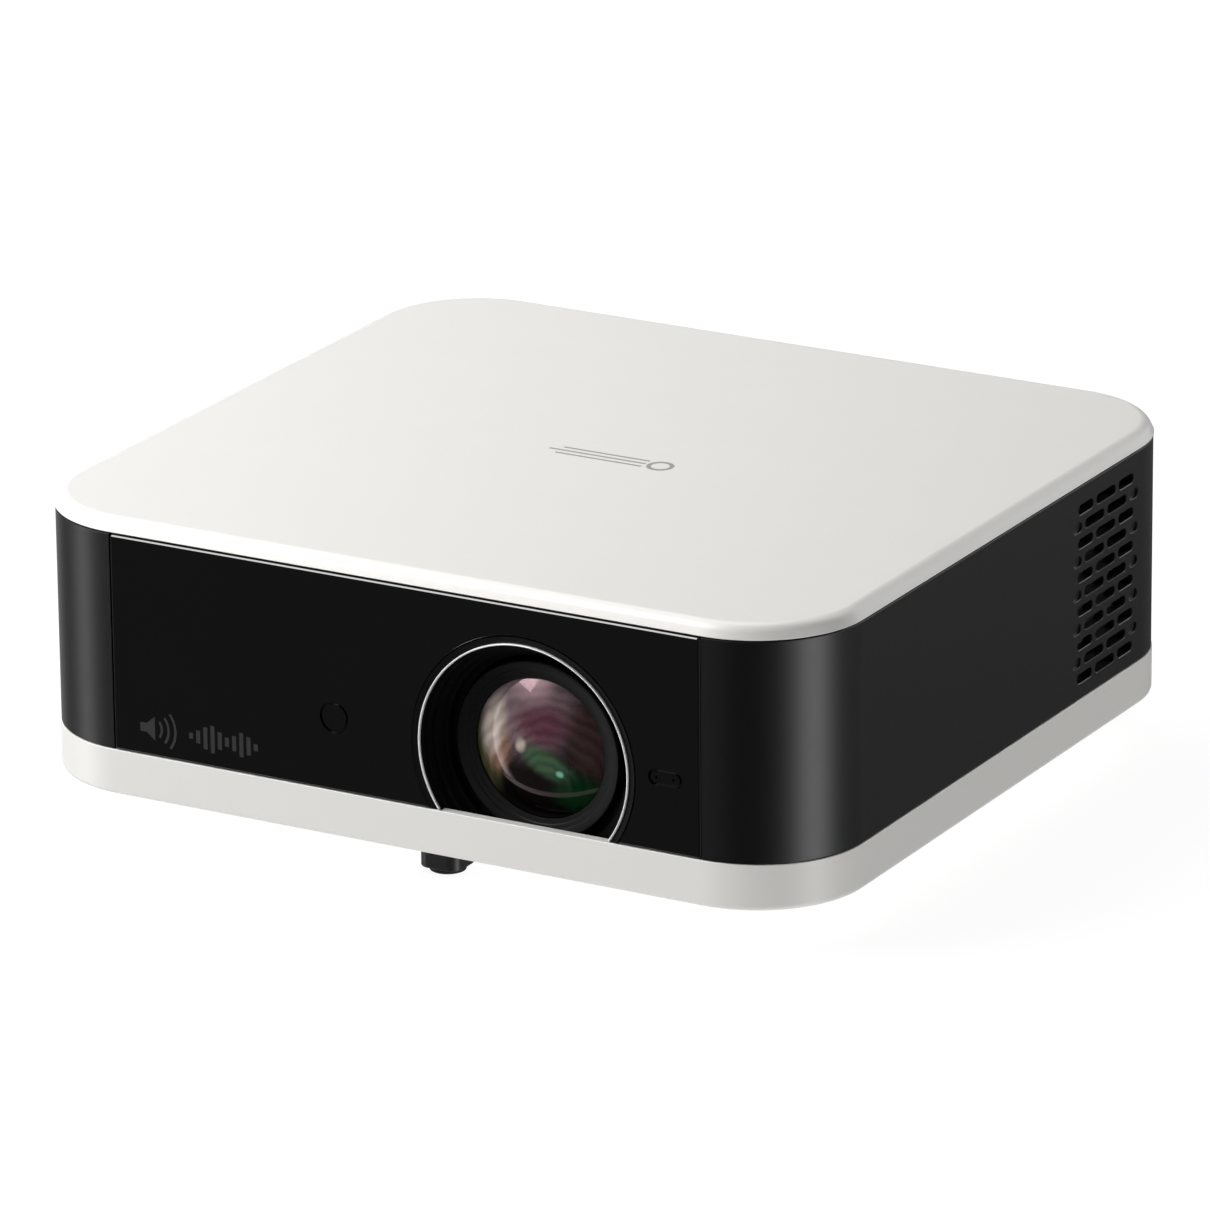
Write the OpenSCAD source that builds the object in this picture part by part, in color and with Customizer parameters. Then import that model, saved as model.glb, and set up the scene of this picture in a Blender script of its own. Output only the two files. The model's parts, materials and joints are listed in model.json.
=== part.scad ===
// Compact home projector: a low square case on three feet, with a round lens opening in a
// glossy front panel, side vents, a rear connector bay and a full set of working parts inside.
// +X is the viewer's right when looking at the lens, the lens faces -Y, and +Z is up.
// The origin is on the table, below the middle of the case.

/* [Case] */
// Width of the case
body_w = 226; // [222:1:236]
// Depth of the case
body_d = 210; // [208:1:222]
// Radius of the upright corners
corner_r = 29; // [26:1:31]
// Height of the white base band
base_h = 12.1; // [11:0.5:13]
// Height of the black middle band
band_h = 57.3; // [56:0.5:64]
// Thickness of the lid, edge to top
lid_h = 3.7; // [3.5:0.1:5]
// Radius of the lid's rounded top edge
lid_edge_r = 2.5; // [1.5:0.1:3]
// Thickness of the case walls
wall = 2.4; // [2:0.1:2.6]

/* [Feet] */
// Height of the case above the table
foot_h = 12; // [10:0.5:14]
// Width of the finger grip on the front foot
grip_w = 11.4; // [10:0.1:13]
// Radius of the front foot's screw
foot_screw_r = 4; // [3:0.5:5]

/* [Lens] */
// Distance of the lens axis from the middle of the case
lens_x = 34.2; // [30:0.1:36]
// Height of the lens axis above the base's underside
lens_rise = 29.5; // [29:0.1:31]
// Outer radius of the thin bright trim ring
trim_r = 29.6; // [28.5:0.1:30]
// Outer radius of the moving front cell
cell_r = 22.9; // [22:0.1:23.2]
// Radius of the front glass
glass_r = 18.4; // [16:0.1:18.6]

/* [Vents] */
// Rows of slots in each side vent
vent_rows = 11; // [7:2:13]
// Spacing of the rows
row_pitch = 4.52; // [4:0.1:4.6]
// Spacing of the slots along a row
slot_pitch = 12.6; // [12:0.1:13]
// Length of a slot
slot_len = 10.7; // [9:0.1:11]
// Height of a slot
slot_h = 2.6; // [2:0.1:3]

/* [Fans] */
// Width of each square fan
fan_w = 50; // [40:1:50]
// Depth of each fan
fan_t = 15; // [12:1:15]
// Number of blades
blades = 7; // [5:2:11]

/* [Hidden] */
$fn = 64;

eps = 0.05;                            // overlap that makes cuts clean
gap = 0.3;                             // clearance between neighbouring case parts
corner_steps = 10;                     // straight pieces in each rounded corner
base_z0 = foot_h;                      // underside of the base
base_z1 = base_z0 + base_h;            // base meets the black band
lid_z0 = base_z1 + band_h;             // band meets the lid
floor_t = 2.4;                         // base floor
inner_z = base_z0 + floor_t;           // top of the base floor
front_y = -body_d / 2;
back_y = body_d / 2;
side_x = body_w / 2;
panel_half = body_w / 2 - corner_r;    // the front panel ends where the corners start
panel_t = 2.6;
panel_back = front_y + panel_t;
lens_z = base_z0 + lens_rise;

vent_y = 55.8;                         // middle of each side vent
vent_z = base_z0 + 40.2;
blind_depth = 0.7;                     // outermost half slots are shallow pockets
fan_in = 4;                            // outer face of each fan behind the case side
exhaust_x0 = side_x - fan_in - fan_t;
intake_x0 = fan_in - side_x;
fan_hole_r = fan_w / 2 - 1.6;
fan_hub_r = 11;
blade_tip_r = fan_hole_r - 0.8;

foot_y = -83.5;                        // front foot
foot_stem = 24;
rear_foot_x = 70;
rear_foot_y = 82;
screw_pts = [for (sx = [-1, 1]) for (sy = [-1, 1]) [sx * (side_x - 17), sy * (back_y - 17)]];

bay_x = 38;                            // half width of the rear connector bay
bay_z0 = 28;
bay_z1 = 50;
bay_depth = 9;
bay_floor_y = back_y - bay_depth;
io_top = 35;                           // top of the connector board
inlet_x = 25.5;
inlet_z = 39;
hdmi_x = 5;
usb_x = -10.2;
jack_x = -21;
jack_z = io_top + 3.3;
jack_r = 1.8;
button_x = -30.5;
button_r = 4;
button_travel = 0.8;
pin_pitch = 8.6;                       // mains inlet pins

ring_teeth = 48;
pinion_teeth = 12;
gear_module = 1;
pressure_angle = 25;
mesh_angle = 150;                      // direction of the focus pinion from the lens axis
gear_gap = 0.16;                       // backlash
ring_pitch_r = gear_module * ring_teeth / 2;
pinion_pitch_r = gear_module * pinion_teeth / 2;
pinion_x = lens_x + (ring_pitch_r + pinion_pitch_r) * cos(mesh_angle);
pinion_z = lens_z + (ring_pitch_r + pinion_pitch_r) * sin(mesh_angle);
cell_y0 = front_y + 7.5;               // front rim of the lens cell
barrel_y0 = -72;
barrel_y1 = -34;
barrel_r = 20;
cell_neck_r = 17.2;
cell_bore_r = 14.8;

cube_y = -18;                          // middle of the colour-combining prism
cube_half = 10;
panel_gap = 12;                        // prism centre to each colour panel
lamp_gap = 24;                         // prism centre to each light source
lamp_len = 16;
plate_t = 3;
pipe_r = 3;
pipe_z = lens_z;
pipe_off = lamp_gap + lamp_len + plate_t + pipe_r + 0.2;
sink_y0 = 48;
sink_x0 = 50;
sink_x1 = 88;
fins = 12;

main_z = 70.5;                         // underside of the main board
main_posts = [[-44, -58], [-44, 18], [66, -58], [66, 18]];
io_posts = [[-34, 61], [8, 61], [-34, 78], [8, 78]];
power_posts = [[-100, -58], [-52, -58], [-100, 14], [-52, 14]];
power_z = 20;
speaker_x = 63;
speaker_z = 52;

// ---------- outlines and shared shapes ----------

function arc(cx, cy, r, a0, a1, n) =
    [for (i = [0:n]) let (a = a0 + (a1 - a0) * i / n) [cx + r * cos(a), cy + r * sin(a)]];

function rounded(w, d, r, n = corner_steps) = concat(
    arc(w / 2 - r, r - d / 2, r, -90, 0, n), arc(w / 2 - r, d / 2 - r, r, 0, 90, n),
    arc(r - w / 2, d / 2 - r, r, 90, 180, n), arc(r - w / 2, r - d / 2, r, 180, 270, n));

// Rounded block standing on z = 0
module slab(w, d, r, h, n = corner_steps) linear_extrude(h) polygon(rounded(w, d, r, n));

// Case outline pulled in by inset
module case_slab(inset, h) slab(body_w - 2 * inset, body_d - 2 * inset, corner_r - inset, h);

// Children drawn in x and y stand up in the X-Z plane, from y0 to y0 + len
module upright(y0, len) translate([0, y0 + len, 0]) rotate([90, 0, 0]) linear_extrude(len) children();

// Round bar along +Y
module bar_y(x, y0, z, r, len, r2 = -1)
    translate([x, y0, z]) rotate([-90, 0, 0]) cylinder(h = len, r1 = r, r2 = r2 < 0 ? r : r2);

// Round bar along +X
module bar_x(x0, y, z, r, len) translate([x0, y, z]) rotate([0, 90, 0]) cylinder(h = len, r = r);

// Box given by its two corners
module box(a, b) translate(a) cube(b - a);

module post(p, z0, z1, r) translate([p[0], p[1], z0]) cylinder(h = z1 - z0, r = r);

// Slot with cut corners, w along x and h along y, about the origin
module slot_2d(w, h) {
    c = h * 0.3;
    polygon([[-w/2 + c, -h/2], [w/2 - c, -h/2], [w/2, c - h/2], [w/2, h/2 - c],
             [w/2 - c, h/2], [c - w/2, h/2], [-w/2, h/2 - c], [-w/2, c - h/2]]);
}

// Slots of one vent field: rows of short, long, short and rows of two long ones
module vent_slots_2d() {
    half = (vent_rows - 1) / 2;
    short_len = slot_len - 2.4;
    for (row = [-half:half]) {
        z = row * row_pitch;
        if ((row + half) % 2 == 0) {
            translate([0, z]) slot_2d(slot_len, slot_h);
            for (s = [-1, 1]) translate([s * (slot_pitch - (slot_len - short_len) / 2), z])
                slot_2d(short_len, slot_h);
        } else {
            for (s = [-0.5, 0.5]) translate([s * slot_pitch, z]) slot_2d(slot_len, slot_h);
        }
    }
}

// Shallow half slots at both ends of the two-slot rows
module vent_pockets_2d() {
    half = (vent_rows - 1) / 2;
    pocket = 4.6;
    for (row = [1 - half:2:half - 1]) for (s = [-1, 1])
        translate([s * (1.5 * slot_pitch - slot_len / 2 + pocket / 2), row * row_pitch])
            slot_2d(pocket, slot_h);
}

// Level bar of radius r from a to b
module level_bar(a, b, z, r) translate([a[0], a[1], z])
    rotate([0, 0, atan2(b[1] - a[1], b[0] - a[0])]) rotate([0, 90, 0]) cylinder(h = norm(b - a), r = r);

// Quarter bend of a bar about c, anticlockwise from angle a0
module elbow(c, a0, bend_r, z, r) translate([c[0], c[1], z]) rotate([0, 0, a0])
    rotate_extrude(angle = 90) translate([bend_r, 0]) circle(r = r);

// Involute gear outline, a tooth centred on angle 0
function involute(r, rb) = sqrt(pow(r / rb, 2) - 1) * 180 / PI - acos(rb / r);
function tooth_half(r, teeth) =
    let (rp = gear_module * teeth / 2, rb = rp * cos(pressure_angle), rr = max(r, rb))
    90 / teeth - gear_gap / 2 / rp * 180 / PI + involute(rp, rb) - involute(rr, rb);
function gear_outline(teeth) =
    let (rp = gear_module * teeth / 2, r0 = rp - 1.2 * gear_module, r1 = rp + 0.9 * gear_module,
         radii = [r0, rp - 0.5, rp, rp + 0.45, r1])
    [for (t = [0:teeth - 1]) for (side = [-1, 1]) for (k = [0:4])
        let (r = radii[side < 0 ? k : 4 - k], a = 360 * t / teeth + side * tooth_half(r, teeth))
        [r * cos(a), r * sin(a)]];

// ---------- case ----------

module base_cover() color("whitesmoke") difference() {
    union() {
        difference() {
            hull() {
                translate([0, 0, base_z0]) case_slab(1.3, eps);
                translate([0, 0, base_z0 + 0.4]) case_slab(0.4, eps);
                translate([0, 0, base_z0 + 1.3]) case_slab(0, base_h - 1.3);
            }
            translate([0, 0, inner_z]) case_slab(wall, base_h);
        }
        for (p = screw_pts) post(p, inner_z - eps, base_z1 - gap, 4.5);
        post([0, foot_y], inner_z - eps, base_z0 + 11.5, 10);
        post([0, 5], inner_z - eps, base_z0 + 10, 9);
        for (s = [-1, 1]) post([s * rear_foot_x, rear_foot_y], inner_z - eps, base_z0 + 6, 6);
    }
    for (p = screw_pts) {
        post(p, base_z0 - 1, base_z1 + 1, 1.6);
        post(p, base_z0 - 1, base_z0 + 3.2, 3.4);
    }
    post([0, foot_y], base_z0 - 1, base_z0 + 12, 7.05);
    post([0, 5], base_z0 - 1, base_z0 + 11, 6.05);
    for (s = [-1, 1]) post([s * rear_foot_x, rear_foot_y], base_z0 - 1, base_z0 + 4, 2.6);
}

module side_shell() color("#1c1c1e") {
    shell_z0 = base_z1 + 0.1;
    shell_h = band_h - 0.4;
    difference() {
        union() {
            difference() {
                translate([0, 0, shell_z0]) case_slab(0.2, shell_h);
                translate([0, 0, shell_z0 - 1]) case_slab(wall + 0.2, shell_h + 2);
            }
            for (s = [-1, 1]) translate([s * (panel_half + 2), panel_back + 1.15, shell_z0])
                translate([-8, -0.95, 0]) cube([16, 1.9, shell_h - 4]);
            for (p = screw_pts) shell_lug(p, shell_z0);
        }
        box([-panel_half, front_y - 1, shell_z0 - 1], [panel_half, panel_back + 0.1, lid_z0 + 1]);
        for (s = [-1, 1]) translate([s * side_x, vent_y, vent_z]) {
            rotate([90, 0, 90]) translate([0, 0, -5]) linear_extrude(10) vent_slots_2d();
            rotate([90, 0, 90]) translate([0, 0, -blind_depth - 0.2])
                linear_extrude(2 * blind_depth + 0.4) vent_pockets_2d();
        }
        for (s = [-1, 1]) translate([s * speaker_x, 0, speaker_z]) upright(back_y - 5, 10)
            speaker_slots_2d();
        box([-bay_x, back_y - 5, bay_z0], [bay_x, back_y + 1, bay_z1]);
        for (p = screw_pts) post(p, shell_z0 - 1, shell_z0 + 9, 1.6);
    }
}

// Lug that takes a case screw, tied to the shell's corner
module shell_lug(p, z) {
    sx = sign(p[0]);
    sy = sign(p[1]);
    post(p, z, z + 10, 4.5);
    translate([p[0], p[1], z]) rotate(atan2(sy, sx)) translate([0, -1.2, 0]) cube([10, 2.4, 10]);
}

module speaker_slots_2d() {
    for (row = [-4:4]) {
        shift = abs(row) % 2 == 0 ? 0 : slot_pitch / 2;
        for (k = [-1:1]) if (!(shift > 0 && k == 1))
            translate([k * slot_pitch + shift, row * row_pitch]) slot_2d(slot_len, slot_h);
    }
}

module top_cover() color("whitesmoke") {
    cover_z0 = lid_z0 + 0.1;
    top_z = lid_z0 + lid_h;
    difference() {
        hull() {
            translate([0, 0, cover_z0]) case_slab(0.2, eps);
            translate([0, 0, cover_z0 + 0.3]) case_slab(0, top_z - lid_edge_r - cover_z0 - 0.3);
            for (a = [30, 60]) translate([0, 0, top_z - lid_edge_r * (1 - sin(a)) - eps])
                case_slab(lid_edge_r * (1 - cos(a)), eps);
            translate([0, 0, top_z - eps]) case_slab(lid_edge_r, eps);
        }
        translate([0, 0, cover_z0 - 1]) case_slab(wall + 0.6, lid_h - 2.2 + 1);
    }
    for (s = [-1, 1]) {
        for (y = [-50, 0, 50]) translate([s * (side_x - wall - 1.5), y, cover_z0 - 2.5])
            translate([-0.7, -6, 0]) cube([1.4, 12, 5]);
        translate([s * 20, back_y - wall - 1.5, cover_z0 - 2.5]) translate([-6, -0.7, 0]) cube([12, 1.4, 5]);
    }
}

// ---------- front ----------

module front_panel() color("#0c0c0d") difference() {
    union() {
        box([0.2 - panel_half, front_y, base_z1 + 0.15], [panel_half - 0.2, panel_back, lid_z0 - 0.4]);
        for (x = [-60, 0, 70]) box([x - 5, panel_back - eps, lid_z0 - 6], [x + 5, panel_back + 4, lid_z0 - 4.4]);
    }
    bar_y(lens_x, front_y - 1, lens_z, trim_r + 1.8, panel_t + 2);
    bar_y(-19.2, front_y - 1, base_z0 + 31.4, 4.15, panel_t + 2);
    translate([74.1, 0, base_z0 + 31.4]) upright(front_y - 1, panel_t + 2) slot_2d(9.4, 4.2);
}

// Keeps only what shows above the base's front wall
module above_base() intersection() {
    children();
    box([-side_x, front_y, base_z1 + 0.15], [side_x, 0, lid_z0]);
}

module lens_trim_ring() color("silver") above_base() difference() {
    bar_y(lens_x, front_y, lens_z, trim_r, 2.2);
    bar_y(lens_x, front_y - 1, lens_z, trim_r - 0.5, 4);
}

// Black funnel of steps that closes the gap between the panel and the lens
module lens_shroud() color("#101011") intersection() {
    difference() {
        bar_y(lens_x, front_y + 0.8, lens_z, trim_r + 1.7, 12.2);
        bar_y(lens_x, front_y - 1, lens_z, trim_r + 0.05, 3.3);
        bar_y(lens_x, front_y + 2, lens_z, 28.2, 2.6);
        bar_y(lens_x, front_y + 4.4, lens_z, 26.8, 2.8);
        bar_y(lens_x, front_y + 7, lens_z, 25.4, 2.8);
        bar_y(lens_x, front_y + 9, lens_z, 23.8, 6);
    }
    union() {
        box([-side_x, front_y, base_z1 + 0.15], [side_x, panel_back + 0.2, lid_z0]);
        box([-side_x, panel_back + 0.1, inner_z + 0.2], [side_x, 0, lid_z0]);
    }
}

module camera_window() color("#141418") bar_y(-19.2, front_y, base_z0 + 31.4, 4.1, 1.4);

module camera_module() color("#222226") {
    box([-27, panel_back + 3.4, base_z0 + 24], [-11.5, panel_back + 4.6, base_z0 + 39]);
    difference() {
        bar_y(-19.2, front_y + 1.6, base_z0 + 31.4, 3.3, 4.4 + eps);
        bar_y(-19.2, front_y + 1.5, base_z0 + 31.4, 2.2, 2);
    }
}

module range_window() color("#141418") translate([74.1, 0, base_z0 + 31.4])
    upright(front_y + 0.1, 1.2) slot_2d(9.3, 4.1);

module range_sensor() color("#222226") difference() {
    union() {
        box([70.4, front_y + 1.7, base_z0 + 29.8], [77.6, panel_back + 3.5, base_z0 + 33]);
        box([66, panel_back + 3.4, base_z0 + 26], [82, panel_back + 4.6, base_z0 + 37]);
    }
    for (s = [-1, 1]) bar_y(74.1 + s * 2.4, front_y + 1, base_z0 + 31.4, 0.8, 1.5);
}

// ---------- rear connectors ----------

module port_tray() color("#1c1c1e") difference() {
    union() {
        difference() {
            box([0.2 - bay_x, bay_floor_y - 1.8, bay_z0 + 0.2], [bay_x - 0.2, back_y - 0.3, bay_z1 - 0.2]);
            box([1.8 - bay_x, bay_floor_y, bay_z0 + 1.8], [bay_x - 1.8, back_y + 1, bay_z1 - 1.8]);
        }
        for (s = [-1, 1]) box([s * (bay_x + 1.2) - 1.8, bay_floor_y - 1.8, bay_z0 + 4],
                              [s * (bay_x + 1.2) + 1.8, back_y - wall - 0.5, bay_z1 - 4]);
    }
    translate([inlet_x, 0, inlet_z]) upright(bay_floor_y - 3, 6) slot_2d(18.4, 10.4);
    box([hdmi_x - 7.7, bay_floor_y - 3, io_top], [hdmi_x + 7.7, back_y - 6, io_top + 6.3]);
    box([usb_x - 6.6, bay_floor_y - 3, io_top], [usb_x + 6.6, back_y - 6, io_top + 7.2]);
    bar_y(jack_x, bay_floor_y - 3, jack_z, 3.1, 6);
    bar_y(button_x, bay_floor_y - 3, inlet_z, button_r + 0.2, 6);
    bar_y(button_x, bay_floor_y - 3, inlet_z + 7.4, 0.85, 6);
}

// Mains inlet for a figure-eight plug: a round-ended well with two pins
module power_inlet() color("#161618") {
    difference() {
        union() {
            translate([inlet_x, 0, inlet_z]) upright(bay_floor_y - 16, 16.4) slot_2d(18, 10);
            box([inlet_x - 11.5, bay_floor_y - 16, inlet_z - 6], [inlet_x + 11.5, bay_floor_y - 2, inlet_z + 6]);
        }
        for (s = [-1, 1]) bar_y(inlet_x + s * 4.2, bay_floor_y - 12, inlet_z, 3.7, 14);
        box([inlet_x - 4.2, bay_floor_y - 12, inlet_z - 3.7], [inlet_x + 4.2, bay_floor_y + 1, inlet_z + 3.7]);
    }
    for (s = [-1, 1]) bar_y(inlet_x + s * pin_pitch / 2, bay_floor_y - 13, inlet_z, 1.2, 11);
}

module hdmi_port() color("silver") {
    y0 = bay_floor_y - 11;
    difference() {
        box([hdmi_x - 7.5, y0, io_top + 0.05], [hdmi_x + 7.5, bay_floor_y + 0.4, io_top + 6.1]);
        translate([hdmi_x, y0 + 1.5, io_top + 0.05]) rotate([90, 0, 0]) mirror([0, 0, 1]) linear_extrude(12)
            polygon([[-7, 2.4], [-5, 0.7], [5, 0.7], [7, 2.4], [7, 5.4], [-7, 5.4]]);
    }
    box([hdmi_x - 5.5, y0 + 1, io_top + 2.5], [hdmi_x + 5.5, bay_floor_y - 1.2, io_top + 3.7]);
}

module usb_port() color("silver") {
    y0 = bay_floor_y - 12;
    difference() {
        box([usb_x - 6.4, y0, io_top + 0.05], [usb_x + 6.4, bay_floor_y + 0.4, io_top + 7]);
        box([usb_x - 6, y0 + 1.5, io_top + 1], [usb_x + 6, bay_floor_y + 1, io_top + 6.2]);
    }
    box([usb_x - 5.3, y0 + 1, io_top + 4], [usb_x + 5.3, bay_floor_y - 1, io_top + 5.8]);
}

module audio_jack() color("#161618") difference() {
    union() {
        bar_y(jack_x, bay_floor_y - 2, jack_z, 3, 2.4);
        box([jack_x - 3.2, bay_floor_y - 14, io_top + 0.05], [jack_x + 3.2, bay_floor_y - 1.9, io_top + 6.5]);
    }
    bar_y(jack_x, bay_floor_y - 12, jack_z, jack_r, 13);
}

module status_light() color("#dff2e4") bar_y(button_x, bay_floor_y - 4, inlet_z + 7.4, 0.8, 4.2);

module power_button() color("#2a2a2c") difference() {
    union() {
        bar_y(button_x, bay_floor_y - 3, inlet_z, button_r, 4.6);
        bar_y(button_x, bay_floor_y - 3, inlet_z, button_r + 1, 0.9);
        bar_y(button_x, bay_floor_y - 5.2, inlet_z, 1.4, 2);
    }
    difference() {
        bar_y(button_x, bay_floor_y + 1.4, inlet_z, button_r - 1, 1);
        bar_y(button_x, bay_floor_y + 1, inlet_z, button_r - 1.4, 2);
    }
}

module button_switch() color("#333338") {
    switch_y = bay_floor_y - 5.2 - button_travel - 0.2;
    box([button_x - 3, switch_y - 3.4, inlet_z - 3], [button_x + 3, switch_y, inlet_z + 3]);
    box([button_x - 3, switch_y - 3.4, io_top + 0.05], [button_x + 3, switch_y - 1.9, inlet_z - 2.9]);
}

// ---------- sound ----------

module speaker_boxes() color("#26262a") for (s = [-1, 1]) difference() {
    box([s * speaker_x - 21, 84, 30], [s * speaker_x + 21, 99.4, 74]);
    box([s * speaker_x - 19.4, 85.6, 31.6], [s * speaker_x + 19.4, 97.8, 72.4]);
    bar_y(s * speaker_x, 97, speaker_z, 18.9, 3);
}

module speaker_frames() color("#3a3a3e") for (s = [-1, 1]) {
    x = s * speaker_x;
    difference() {
        bar_y(x, 99.5, speaker_z, 20.4, 1.8);
        bar_y(x, 99, speaker_z, 17.1, 3);
    }
    for (a = [0:90:270]) translate([x, 0, speaker_z]) rotate([0, a + 45, 0]) {
        box([17.2, 88, -1.5], [18.6, 99.6, 1.5]);
        box([9, 88, -1.5], [18.6, 90, 1.5]);
    }
    difference() {
        bar_y(x, 86.2, speaker_z, 12, 6);
        bar_y(x, 88, speaker_z, 6, 5);
    }
    bar_y(x, 86.2, speaker_z, 4, 6);
}

module speaker_cone(x) color("#4a4a4e") {
    difference() {
        bar_y(x, 94.4, speaker_z, 5.4, 5.6, 15.4);
        bar_y(x, 94.9, speaker_z, 5, 5.7, 15.2);
    }
    difference() {
        bar_y(x, 99.6, speaker_z, 16.6, 0.4);
        bar_y(x, 99.5, speaker_z, 14.4, 1);
    }
    difference() {
        bar_y(x, 89.6, speaker_z, 5.4, 5.2);
        bar_y(x, 89, speaker_z, 4.8, 7);
    }
}
module speaker_cone_left() speaker_cone(-speaker_x);
module speaker_cone_right() speaker_cone(speaker_x);

// ---------- air ----------

module fan_frame(x0, strut_x) {
    difference() {
        translate([x0, vent_y, vent_z]) rotate([90, 0, 90]) slab(fan_w, fan_w, 3, fan_t, 4);
        bar_x(x0 - 1, vent_y, vent_z, fan_hole_r, fan_t + 2);
        for (sy = [-1, 1]) for (sz = [-1, 1])
            bar_x(x0 - 1, vent_y + sy * (fan_w / 2 - 4), vent_z + sz * (fan_w / 2 - 4), 2.1, fan_t + 2);
    }
    difference() {
        union() {
            bar_x(strut_x, vent_y, vent_z, 9.5, 1.6);
            for (a = [30, 150, 270]) translate([strut_x, vent_y, vent_z]) rotate([a, 0, 0])
                translate([0, -1.2, 8]) cube([1.6, 2.4, fan_hole_r - 7]);
        }
        bar_x(strut_x - 1, vent_y, vent_z, 1.55, 4);
    }
}

module fan_rotor(x0) {
    difference() {
        bar_x(x0, vent_y, vent_z, fan_hub_r, fan_t - 4);
        bar_x(x0 - 1, vent_y, vent_z, fan_hub_r - 1.4, fan_t - 4.2);
    }
    bar_x(x0 - 3, vent_y, vent_z, 1.5, fan_t - 2);
    intersection() {
        difference() {
            bar_x(x0, vent_y, vent_z, blade_tip_r, fan_t - 4);
            bar_x(x0 - 1, vent_y, vent_z, fan_hub_r - 0.4, fan_t - 2);
        }
        for (k = [0:blades - 1]) translate([x0 + (fan_t - 4) / 2, vent_y, vent_z])
            rotate([360 * k / blades, 0, 0]) rotate([0, 0, 38]) translate([-0.6, -9, fan_hub_r - 1])
                cube([1.2, 18, blade_tip_r]);
    }
}

module exhaust_fan_frame() color("#202022") fan_frame(exhaust_x0, exhaust_x0 + fan_t - 13.8);
module exhaust_fan_rotor() color("#2c2c30") fan_rotor(exhaust_x0 + 3.4);
module intake_fan_frame() color("#202022") fan_frame(intake_x0, intake_x0 + 0.4);
module intake_fan_rotor() color("#2c2c30") fan_rotor(intake_x0 + 3.4);

module intake_filter() color("#6a6a6e") difference() {
    box([0.2 - side_x + wall + 0.2, vent_y - 21, vent_z - 26], [intake_x0 - 0.2, vent_y + 21, vent_z + 26]);
    for (y = [-15:6:15]) for (z = [-20:8:20])
        bar_x(-side_x, vent_y + y, vent_z + z, 1.6, 8);
}

// ---------- lens ----------

module lens_barrel() color("#26262a") difference() {
    union() {
        bar_y(lens_x, barrel_y0, lens_z, barrel_r, barrel_y1 - barrel_y0);
        bar_y(lens_x, -49.6, lens_z, 22.5, 2.6);
        box([lens_x - 24, barrel_y1 - 3, lens_z - 24], [lens_x + 24, barrel_y1, lens_z + 24]);
        box([pinion_x - 7, barrel_y1 - 8, pinion_z - 7], [pinion_x + 7, barrel_y1, pinion_z + 7]);
    }
    bar_y(lens_x, barrel_y0 - 1, lens_z, cell_neck_r + 0.3, barrel_y1 - barrel_y0 + 2);
    for (sx = [-1, 1]) for (sz = [-1, 1]) {
        bar_y(lens_x + sx * 20.5, barrel_y1 - 4, lens_z + sz * 20.5, 1.3, 6);
        bar_y(lens_x + sx * 20.5, barrel_y1 - 9, lens_z + sz * 20.5, 2.6, 6);
    }
}

// Flat-backed lens of radius r: the dome's top is at the origin and the flat back is at z = t
module dome_lens(r, dome_r, t) {
    edge = dome_r - sqrt(dome_r * dome_r - r * r);
    reach = asin(r / dome_r);
    dome = [for (i = [0:12]) let (a = reach * i / 12) [dome_r * sin(a), dome_r * (1 - cos(a))]];
    rotate_extrude() polygon(concat(dome, edge < t ? [[r, t], [0, t]] : [[0, t]]));
}

module rear_lens_group() color("lightcyan") {
    translate([lens_x, -44, lens_z]) rotate([-90, 0, 0]) dome_lens(cell_neck_r + 0.2, 40, 7);
}

module focus_ring() color("#1a1a1c") difference() {
    union() {
        bar_y(lens_x, -70, lens_z, 22.4, 20);
        translate([lens_x, 0, lens_z]) upright(-66, 8) rotate(mesh_angle) polygon(gear_outline(ring_teeth));
    }
    bar_y(lens_x, -71, lens_z, barrel_r + 0.08, 22);
}

module focus_pinion() color("gold") {
    translate([pinion_x, 0, pinion_z]) upright(-67, 10)
        rotate(mesh_angle + 180 + 180 / pinion_teeth) polygon(gear_outline(pinion_teeth));
    bar_y(pinion_x, -68, pinion_z, 1, 20);
}

module focus_motor() color("silver") difference() {
    bar_y(pinion_x, -54, pinion_z, 6.5, 11.9);
    bar_y(pinion_x, -55, pinion_z, 1.06, 10);
}

module lens_cell() color("#1a1a1c") difference() {
    union() {
        bar_y(lens_x, cell_y0, lens_z, cell_r, 13.5);
        bar_y(lens_x, cell_y0 + 13, lens_z, cell_neck_r, 30);
    }
    bar_y(lens_x, cell_y0 - 0.1, lens_z, cell_r - 0.8, 2.6, glass_r);
    bar_y(lens_x, cell_y0 - 1, lens_z, glass_r + 0.05, 6.6);
    bar_y(lens_x, cell_y0, lens_z, cell_bore_r, 50);
}

// Flat-backed lens of radius r with a hollow front: its rim is at z = 0 and the flat back at z = t
module hollow_lens(r, hollow_r, t) {
    deep = hollow_r - sqrt(hollow_r * hollow_r - r * r);
    reach = asin(r / hollow_r);
    hollow = [for (i = [0:12]) let (a = reach * i / 12)
        [hollow_r * sin(a), deep - hollow_r * (1 - cos(a))]];
    rotate_extrude() polygon(concat(hollow, [[r, t], [0, t]]));
}

// Front glass and the two elements behind it, held in the moving cell
module front_lens_group() color("lightcyan") translate([lens_x, cell_y0, lens_z]) rotate([-90, 0, 0]) {
    translate([0, 0, -3]) dome_lens(glass_r, 35, 8.5);
    translate([0, 0, 7.5]) dome_lens(cell_bore_r - 0.05, 26, 5.4);
    translate([0, 0, 17]) hollow_lens(cell_bore_r - 0.05, 24, 7);
}

// ---------- light engine ----------

// Places children for one colour: 0 red on the left, 1 green at the back, 2 blue on the right
module channel(k) translate([lens_x, cube_y, lens_z]) rotate([0, 0, 180 - 90 * k]) children();

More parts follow.
